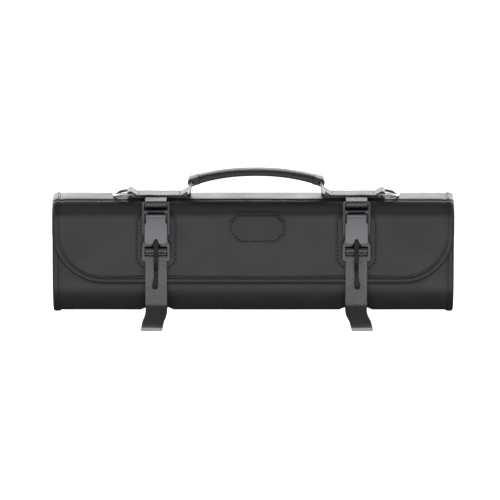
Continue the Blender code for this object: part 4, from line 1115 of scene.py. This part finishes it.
# %% Slabs, bars and Booleans
def slab(name, outline, low, high):
    """A flat block from an outline of (x, q) points, between two heights."""
    bpy.ops.mesh.primitive_circle_add(vertices=len(outline), radius=1, fill_type="NGON")
    obj = bpy.context.object
    obj.name = obj.data.name = name
    for vertex, (x, q) in zip(obj.data.vertices, outline):
        vertex.co = (x, q, low)
    bpy.ops.object.mode_set(mode="EDIT")
    bpy.ops.mesh.select_all(action="SELECT")
    bpy.ops.mesh.extrude_region_move(TRANSFORM_OT_translate={"value": (0, 0, high - low)})
    bpy.ops.mesh.select_all(action="SELECT")
    bpy.ops.mesh.normals_make_consistent(inside=False)
    bpy.ops.object.mode_set(mode="OBJECT")
    return obj


def bar(name, length, diameter, q, h, sides=24):
    bpy.ops.mesh.primitive_cylinder_add(
        vertices=sides, radius=diameter / 2, depth=length, location=(0, q, h), rotation=(0, math.pi / 2, 0)
    )
    obj = bpy.context.object
    obj.name = name
    bpy.ops.object.transform_apply(location=True, rotation=True, scale=True)
    return obj


def combine(obj, tool, operation):
    apply_modifier(obj, "BOOLEAN", object=tool, operation=operation, solver="EXACT")
    bpy.data.objects.remove(tool, do_unlink=True)


def arc_points(x, q, radius, first, last, steps=6):
    angles = np.radians(np.linspace(first, last, steps + 1))
    return [(x + radius * math.cos(a), q + radius * math.sin(a)) for a in angles]


def mirrored(points):
    """Closes an outline drawn for x above 0, from its lower to its upper end."""
    return points + [(-x, q) for x, q in reversed(points)]


def soften(obj, width, segments=3):
    apply_modifier(
        obj, "BEVEL", width=width, segments=segments, limit_method="ANGLE", angle_limit=math.radians(40)
    )


def place_on_buckle(obj, x):
    obj.matrix_world = (
        Matrix.Translation((x, BUCKLE_FOOT.y, BUCKLE_FOOT.z)) @ Matrix.Rotation(-BUCKLE_TILT, 4, "X")
    )


print("buckles are", round(BUCKLE_LENGTH / MM, 1), "mm long")

# %% Upper moulding: tray, arms and bars
FRAME_HALF = 31.3 * MM / 2
FRAME_START = 31.2 * MM
FRAME_ARM = 2.2 * MM
FRAME_FLOOR = 1.1 * MM
SLOT_START = TOP_BAR_Q - TOP_BAR_DIAMETER / 2 - 5.6 * MM
CROSS_BAR = 2.8 * MM
SADDLE_DEPTH = 0.9 * MM
BOSS_LENGTH = 3.4 * MM
BOSS_DIAMETER = 3.6 * MM
BOSS_INSET = 1.9 * MM


def socket_moulding(side):
    inner = FRAME_HALF - FRAME_ARM
    tray_end = SLOT_START - CROSS_BAR
    body = slab(
        f"buckle_socket_{side}",
        mirrored([
            (FRAME_HALF - 1 * MM, FRAME_START),
            (FRAME_HALF, FRAME_START + 1 * MM),
            *arc_points(FRAME_HALF - 2 * MM, BUCKLE_LENGTH - 2 * MM, 2 * MM, 0, 90),
            (inner, BUCKLE_LENGTH),
            (inner, SLOT_START),
        ]),
        0,
        FRAME_THICKNESS,
    )
    tray = [(inner, FRAME_START - 2 * MM), (inner, tray_end)]
    combine(body, slab("tray_cutter", mirrored(tray), FRAME_FLOOR, FRAME_THICKNESS + 2 * MM), "DIFFERENCE")
    # The cross bar is thinner between its two end bosses, so light lands on the bosses first
    boss = inner - 3.9 * MM
    saddle = [(boss, tray_end - 1 * MM), (boss, SLOT_START + 1 * MM)]
    height = FRAME_THICKNESS - SADDLE_DEPTH
    combine(body, slab("saddle_cutter", mirrored(saddle), height, 8 * MM), "DIFFERENCE")
    undercut = [(boss, tray_end - 1 * MM), (boss, tray_end + 1.2 * MM)]
    combine(body, slab("slot_cutter", mirrored(undercut), -1 * MM, 8 * MM), "DIFFERENCE")
    soften(body, 0.45 * MM)
    for sign in (-1, 1):
        knob = bar("boss", BOSS_LENGTH, BOSS_DIAMETER, tray_end + 1.5 * MM, height)
        knob.location.x = sign * (inner - BOSS_INSET)
        bpy.ops.object.transform_apply(location=True, rotation=True, scale=True)
        combine(body, knob, "UNION")
    top_bar = bar("top_bar", 2 * inner + FRAME_ARM, TOP_BAR_DIAMETER, TOP_BAR_Q, FRAME_THICKNESS / 2)
    combine(body, top_bar, "UNION")
    place_on_buckle(body, STRAP_X[side])
    return finish_piece(body, [FRAME_PLASTIC], [f"buckle_frame_{side}"])


for side in STRAP_X:
    socket = socket_moulding(side)
print("socket faces:", len(socket.data.polygons))

# %% Lower moulding: plate, shoulders and ladder
LADDER_THICKNESS = 3.6 * MM
LADDER_HALF = 16 * MM
LADDER_LENGTH = 18 * MM
SHOULDER_TOP = LADDER_LENGTH + 6.5 * MM
PLATE_HALF = 26.4 * MM / 2
NECK_HALF = 22 * MM / 2
PLATE_TOP = SLOT_START - CROSS_BAR - 2 * MM
PLATE_UNDER = FRAME_FLOOR + CLEARANCE
PLATE_THICKNESS = 5 * MM
NOTCH_HALF = 5.7 * MM
NOTCH_EYE = 2.2 * MM
BAR_SEAT = 1.5 * MM
GROOVE_DEPTH = 0.8 * MM
GROOVE_HALF = 14 * MM
LIP = 2.1 * MM
GROOVE_START = 3 * MM


def plug_moulding(side):
    window_top = BOTTOM_BAR + WINDOW_LENGTH
    ladder = slab(
        f"buckle_plug_{side}",
        mirrored([
            *arc_points(LADDER_HALF - 3.5 * MM, 3.5 * MM, 3.5 * MM, -90, 0),
            (LADDER_HALF, LADDER_LENGTH),
            (PLATE_HALF, SHOULDER_TOP),
            (PLATE_HALF, FRAME_START - CLEARANCE),
        ]),
        0,
        LADDER_THICKNESS,
    )
    window = mirrored([
        (WINDOW_WIDTH / 2 - 0.8 * MM, BOTTOM_BAR),
        (WINDOW_WIDTH / 2, BOTTOM_BAR + 0.8 * MM),
        (WINDOW_WIDTH / 2, window_top),
        (NOTCH_HALF, window_top),
        *arc_points(0, window_top + NOTCH_DEPTH - NOTCH_EYE, NOTCH_EYE, 0, 80, 4),
    ])
    combine(ladder, slab("window_cutter", window, -2 * MM, 10 * MM), "DIFFERENCE")
    soften(ladder, 0.6 * MM)
    length = WINDOW_WIDTH + 2 * BAR_SEAT
    combine(ladder, bar("ladder_bar", length, MIDDLE_BAR_DIAMETER, MIDDLE_BAR_Q, MIDDLE_BAR_RISE), "UNION")

    plate_low = SHOULDER_TOP - 4 * MM
    side_x = PLATE_HALF - 0.3 * MM
    plate = slab(
        "plate",
        mirrored([
            *arc_points(side_x - 4 * MM, plate_low + 4 * MM, 4 * MM, -90, 0),
            (side_x, PLATE_TOP - 10.5 * MM),
            (NECK_HALF, PLATE_TOP - 9 * MM),
            (NECK_HALF, PLATE_TOP),
        ]),
        PLATE_UNDER,
        PLATE_UNDER + PLATE_THICKNESS,
    )
    combine(plate, slab("notch_cutter", window, -2 * MM, 10 * MM), "DIFFERENCE")
    # A finger groove across the plate leaves a narrow lip along its upper edge
    groove = [(GROOVE_HALF, PLATE_TOP - GROOVE_START), (GROOVE_HALF, PLATE_TOP - LIP)]
    groove_floor = PLATE_UNDER + PLATE_THICKNESS - GROOVE_DEPTH
    combine(plate, slab("groove_cutter", mirrored(groove), groove_floor, 9 * MM), "DIFFERENCE")
    soften(plate, 0.4 * MM)
    combine(ladder, plate, "UNION")
    place_on_buckle(ladder, STRAP_X[side])
    finish_piece(ladder, [LADDER_PLASTIC, PLATE_PLASTIC], [f"buckle_tongue_{side}"])
    foot = buckle_place(plate_low, 0)[0]
    for polygon in ladder.data.polygons:
        y, z = polygon.center.yz
        above = (z - FRONT) * math.cos(BUCKLE_TILT) - BUCKLE_LIFT
        above += (y - BUCKLE_FOOT.y) * math.sin(BUCKLE_TILT)
        if y > foot and above > LADDER_THICKNESS + 0.1 * MM:
            polygon.material_index = 1
    return ladder


for side in STRAP_X:
    plug = plug_moulding(side)
print("plug faces:", len(plug.data.polygons))

# %% [markdown]
# ## Bands, rings and handle
#
# On each side one leather band is sewn along the top. It is a single strip, folded round a ring's
# bar at both ends, with its two layers stitched together. The D-ring swings in its outer eye and
# the handle's ring stands in its inner one. A strip that follows a drawn loop gives the real
# teardrop eyes; a cut block would not.

# %% Places along the top side
EYE_WALL = 1.95 * MM
RING_GAP = 0.4 * MM
EYE_RISE = CLEARANCE + EYE_WALL + RING_GAP
D_WIRE = 3.5 * MM
RING_WIRE = 3 * MM
D_BAR_Y = TOP + EYE_RISE + D_WIRE / 2
RING_BAR_Y = TOP + EYE_RISE + RING_WIRE / 2
D_SPACING = 288 * MM
RING_SPACING = 156 * MM
LAYER = 1.75 * MM
BAND_STITCH_INSET = 2 * MM
BAND_SEAM = 9 * MM


def band_path():
    """Once round the band in (x, y), from the inner ring's eye at x = 0 outwards."""
    low = TOP + CLEARANCE + LAYER / 2
    high = low + LAYER + 0.05 * MM
    outer_x = (D_SPACING - RING_SPACING) / 2
    inner_r = RING_WIRE / 2 + RING_GAP + LAYER / 2
    outer_r = D_WIRE / 2 + RING_GAP + LAYER / 2
    middle = outer_x / 2
    corners = [
        (middle, low, 0),
        (outer_x + outer_r, low, 0.98 * outer_r),
        (outer_x + outer_r, D_BAR_Y + outer_r, 0.98 * outer_r),
        (outer_x - 0.8 * MM, D_BAR_Y + outer_r, 2.6 * MM),
        (outer_x - 8 * MM, high, 4 * MM),
        (middle + 12 * MM, high + 0.5 * MM, 9 * MM),
        (middle, high, 20 * MM),
        (8 * MM, high, 4 * MM),
        (0.8 * MM, RING_BAR_Y + inner_r, 2.6 * MM),
        (-inner_r, RING_BAR_Y + inner_r, 0.98 * inner_r),
        (-inner_r, low, 0.98 * inner_r),
        (middle, low, 0),
    ]
    return rounded_path(corners, math.radians(10))


def ring_band(side):
    sign = SIDE_SIGN[side]
    x0 = MIDDLE_X + sign * RING_SPACING / 2
    line, run = refined(band_path(), STRIP_STEP)
    across = np.linspace(-0.5, 0.5, 9) * BAND_WIDTH
    points = np.empty((len(line), len(across), 3))
    points[:, :, 0] = x0 + sign * line[:, :1]
    points[:, :, 1] = line[:, 1:]
    points[:, :, 2] = HANDLE_LINE + across
    obj = grid_piece(f"ring_band_{side}", points)
    merge_seam(obj)
    apply_modifier(obj, "SOLIDIFY", thickness=LAYER, offset=0, use_even_offset=True, material_offset_rim=1)
    soften(obj, 0.3 * MM, 2)
    finish_piece(obj, [TRIM, EDGE_PAINT], [f"handle_band_{side}"], smooth=50)
    top = TOP + CLEARANCE + 2 * LAYER + 0.05 * MM
    near, far = BAND_SEAM, (D_SPACING - RING_SPACING) / 2 - BAND_SEAM
    half = BAND_WIDTH / 2 - BAND_STITCH_INSET
    lines = []
    for z in (-half, half):
        row = [(x0 + sign * t, top, HANDLE_LINE + z) for t in np.linspace(near, far, 30)]
        lines.append((row, [(0, 1, 0)] * 30))
    for t in (near, far):
        row = [(x0 + sign * t, top, HANDLE_LINE + z) for z in np.linspace(-half, half, 8)]
        lines.append((row, [(0, 1, 0)] * 8))
    stitch_rows(f"band_stitches_{side}", lines)


for side in STRAP_X:
    ring_band(side)


# %% [markdown]
# The rings are bent from round wire and welded. A curve along the wire's middle, with a round
# bevel, is the same idea in Blender. It is turned into a mesh before it is put in its place.

# %% Rings of round wire
def wire_ring(name, points, wire, place, turn, node, body):
    curve = bpy.data.curves.new(name, "CURVE")
    curve.dimensions = "3D"
    curve.bevel_depth = wire / 2
    curve.bevel_resolution = 6
    spline = curve.splines.new("POLY")
    spline.points.add(len(points) - 1)
    for target, (x, z) in zip(spline.points, points):
        target.co = (x, 0, z, 1)
    spline.use_cyclic_u = True
    ring = bpy.data.objects.new(name, curve)
    bpy.context.scene.collection.objects.link(ring)
    ring.select_set(True)
    bpy.context.view_layer.objects.active = ring
    bpy.ops.object.convert(target="MESH")
    ring = bpy.context.object
    ring.location = place
    ring.rotation_euler = (0, 0, turn)
    return finish_piece(ring, [NICKEL], [node], body, smooth=60)


D_DROOP = math.radians(7)
D_REACH = 19 * MM
D_HALF = 13 * MM + D_WIRE / 2
RING_LEAN = math.radians(17)
RING_HEIGHT = 14.4 * MM
RING_HALF = 13 * MM + RING_WIRE / 2


def d_ring_outline():
    corner, straight = 2.5 * MM, 5 * MM
    bow = [
        (straight + (D_REACH - straight) * math.cos(a), D_HALF * math.sin(a))
        for a in np.linspace(-math.pi / 2, math.pi / 2, 41)
    ]
    return [
        *arc_points(corner, -D_HALF + corner, corner, 180, 270),
        *bow,
        *arc_points(corner, D_HALF - corner, corner, 90, 180),
    ]


def loop_outline():
    r = 3 * MM
    return [
        *arc_points(r, -RING_HALF + r, r, 180, 270),
        *arc_points(RING_HEIGHT - r, -RING_HALF + r, r, 270, 360),
        *arc_points(RING_HEIGHT - r, RING_HALF - r, r, 0, 90),
        *arc_points(r, RING_HALF - r, r, 90, 180),
    ]


for side, sign in SIDE_SIGN.items():
    x = MIDDLE_X + sign * D_SPACING / 2
    turn = -D_DROOP if side == "right" else math.pi + D_DROOP
    place, node = (x, D_BAR_Y, HANDLE_LINE), f"d_ring_{side}"
    wire_ring(f"d_ring_wire_{side}", d_ring_outline(), D_WIRE, place, turn, node, node)
    x = MIDDLE_X + sign * RING_SPACING / 2
    turn = math.pi / 2 + sign * RING_LEAN
    place, node = (x, RING_BAR_Y, HANDLE_LINE), f"handle_ring_{side}"
    wire_ring(f"handle_ring_wire_{side}", loop_outline(), RING_WIRE, place, turn, node, "roll")
print("four rings bent")

# %% [markdown]
# ## Handle
#
# The grip is a soft core in a leather sleeve, sewn along both sides. Its section is a squarish oval
# with a pressed line near each edge, and it is swept along a shallow arch. The leather bulges softly
# between the seams, so the section carries that bulge. At each end a leather loop holds the ring.

# %% The padded grip
CHAPE_BAR_Y = RING_BAR_Y + RING_HEIGHT * math.cos(RING_LEAN)
CHAPE_BAR_X = RING_SPACING / 2 - RING_HEIGHT * math.sin(RING_LEAN)
GRIP_RISE = 10.8 * MM
GRIP_POWER = 2.2
GRIP_HALF_WIDTH = 9.5 * MM
GRIP_HALF_THICKNESS = 4.1 * MM
CHAPE_LENGTH = 9 * MM
SECTION_POWERS = (0.55, 0.5)
SEAM_ACROSS, SEAM_WIDTH, SEAM_DEPTH = 0.72, 0.05, 0.12
SIDE_BULGE, SIDE_BULGE_WIDTH = 0.05, 0.13
FULLER_ENDS = 0.16
GRIP_STITCH_LIFT = 0.79


def grip_arch(x):
    share = abs(x) / CHAPE_BAR_X
    y = CHAPE_BAR_Y + GRIP_RISE * (1 - share**GRIP_POWER)
    slope = -math.copysign(GRIP_RISE * GRIP_POWER * share ** (GRIP_POWER - 1) / CHAPE_BAR_X, x)
    return y, math.atan(slope)


def grip_section():
    """(across, up) round the sleeve: an oval with a groove for each seam and a line along each side."""
    ring = []
    for a in np.linspace(0, 2 * math.pi, 65):
        c, s = math.cos(a), math.sin(a)
        across = math.copysign(abs(c) ** SECTION_POWERS[0], c)
        up = math.copysign(abs(s) ** SECTION_POWERS[1], s)
        seam = math.exp(-(((abs(across) - SEAM_ACROSS) / SEAM_WIDTH) ** 2)) * (abs(up) > 0.3)
        side = math.exp(-((up / SIDE_BULGE_WIDTH) ** 2))
        wide, high = GRIP_HALF_WIDTH * across, GRIP_HALF_THICKNESS * up
        ring.append((wide * (1 + SIDE_BULGE * side), high * (1 - SEAM_DEPTH * seam)))
    return ring


end_tilt = grip_arch(-CHAPE_BAR_X)[1]
reach = CHAPE_BAR_X - (CHAPE_LENGTH + CLEARANCE) * math.cos(end_tilt)


def grip_fullness(x):
    """The core is a little thicker towards the grip's ends."""
    return 1 + FULLER_ENDS * (x / reach) ** 2


rows = []
for x in np.linspace(-reach, reach, 61):
    y, tilt = grip_arch(x)
    full = grip_fullness(x)
    rows.append([
        (MIDDLE_X + x - up * full * math.sin(tilt), y + up * full * math.cos(tilt), HANDLE_LINE + across)
        for across, up in grip_section()
    ])
grip = grid_piece("grip", np.array(rows))
merge_seam(grip)
bpy.ops.object.mode_set(mode="EDIT")
choose("EDGE", lambda e: e.is_boundary)
bpy.ops.mesh.edge_face_add()
bpy.ops.mesh.select_all(action="SELECT")
bpy.ops.mesh.normals_make_consistent(inside=False)
bpy.ops.object.mode_set(mode="OBJECT")
finish_piece(grip, [LEATHER], ["handle_grip"], smooth=50)
lines = []
for across in (-SEAM_ACROSS, SEAM_ACROSS):
    z = HANDLE_LINE + across * GRIP_HALF_WIDTH
    row, up = [], []
    for x in np.linspace(-reach + 2 * MM, reach - 2 * MM, 60):
        y, tilt = grip_arch(x)
        lift = GRIP_STITCH_LIFT * GRIP_HALF_THICKNESS * grip_fullness(x)
        row.append((MIDDLE_X + x - lift * math.sin(tilt), y + lift * math.cos(tilt), z))
        up.append((-math.sin(tilt), math.cos(tilt), 0))
    lines.append((row, up))
stitch_rows("grip_stitches", lines)

# %% Loops at the ends of the grip
CHAPE_HALF_WIDTH = 10.3 * MM
LOOP_WALL = 2.7 * MM


def grip_loop(side):
    sign = SIDE_SIGN[side]
    hole = RING_WIRE / 2 + RING_GAP
    outer = hole + LOOP_WALL
    grip_end = GRIP_HALF_THICKNESS + 0.5 * MM
    outline = [(CHAPE_LENGTH, -grip_end), (CHAPE_LENGTH, grip_end), *arc_points(0, 0, outer, 65, 295, 20)]
    loop = slab(f"grip_loop_{side}", outline, -CHAPE_HALF_WIDTH, CHAPE_HALF_WIDTH)
    combine(loop, slab("eye_cutter", arc_points(0, 0, hole, 0, 352, 44), -15 * MM, 15 * MM), "DIFFERENCE")
    soften(loop, 0.6 * MM)
    tilt = abs(grip_arch(CHAPE_BAR_X)[1])
    loop.location = (MIDDLE_X + sign * CHAPE_BAR_X, CHAPE_BAR_Y, HANDLE_LINE)
    loop.rotation_euler = (0, 0, tilt if sign < 0 else math.pi - tilt)
    return finish_piece(loop, [TRIM], [f"handle_chape_{side}"], smooth=40)


for side in STRAP_X:
    loop = grip_loop(side)
print("grip loop faces:", len(loop.data.polygons))
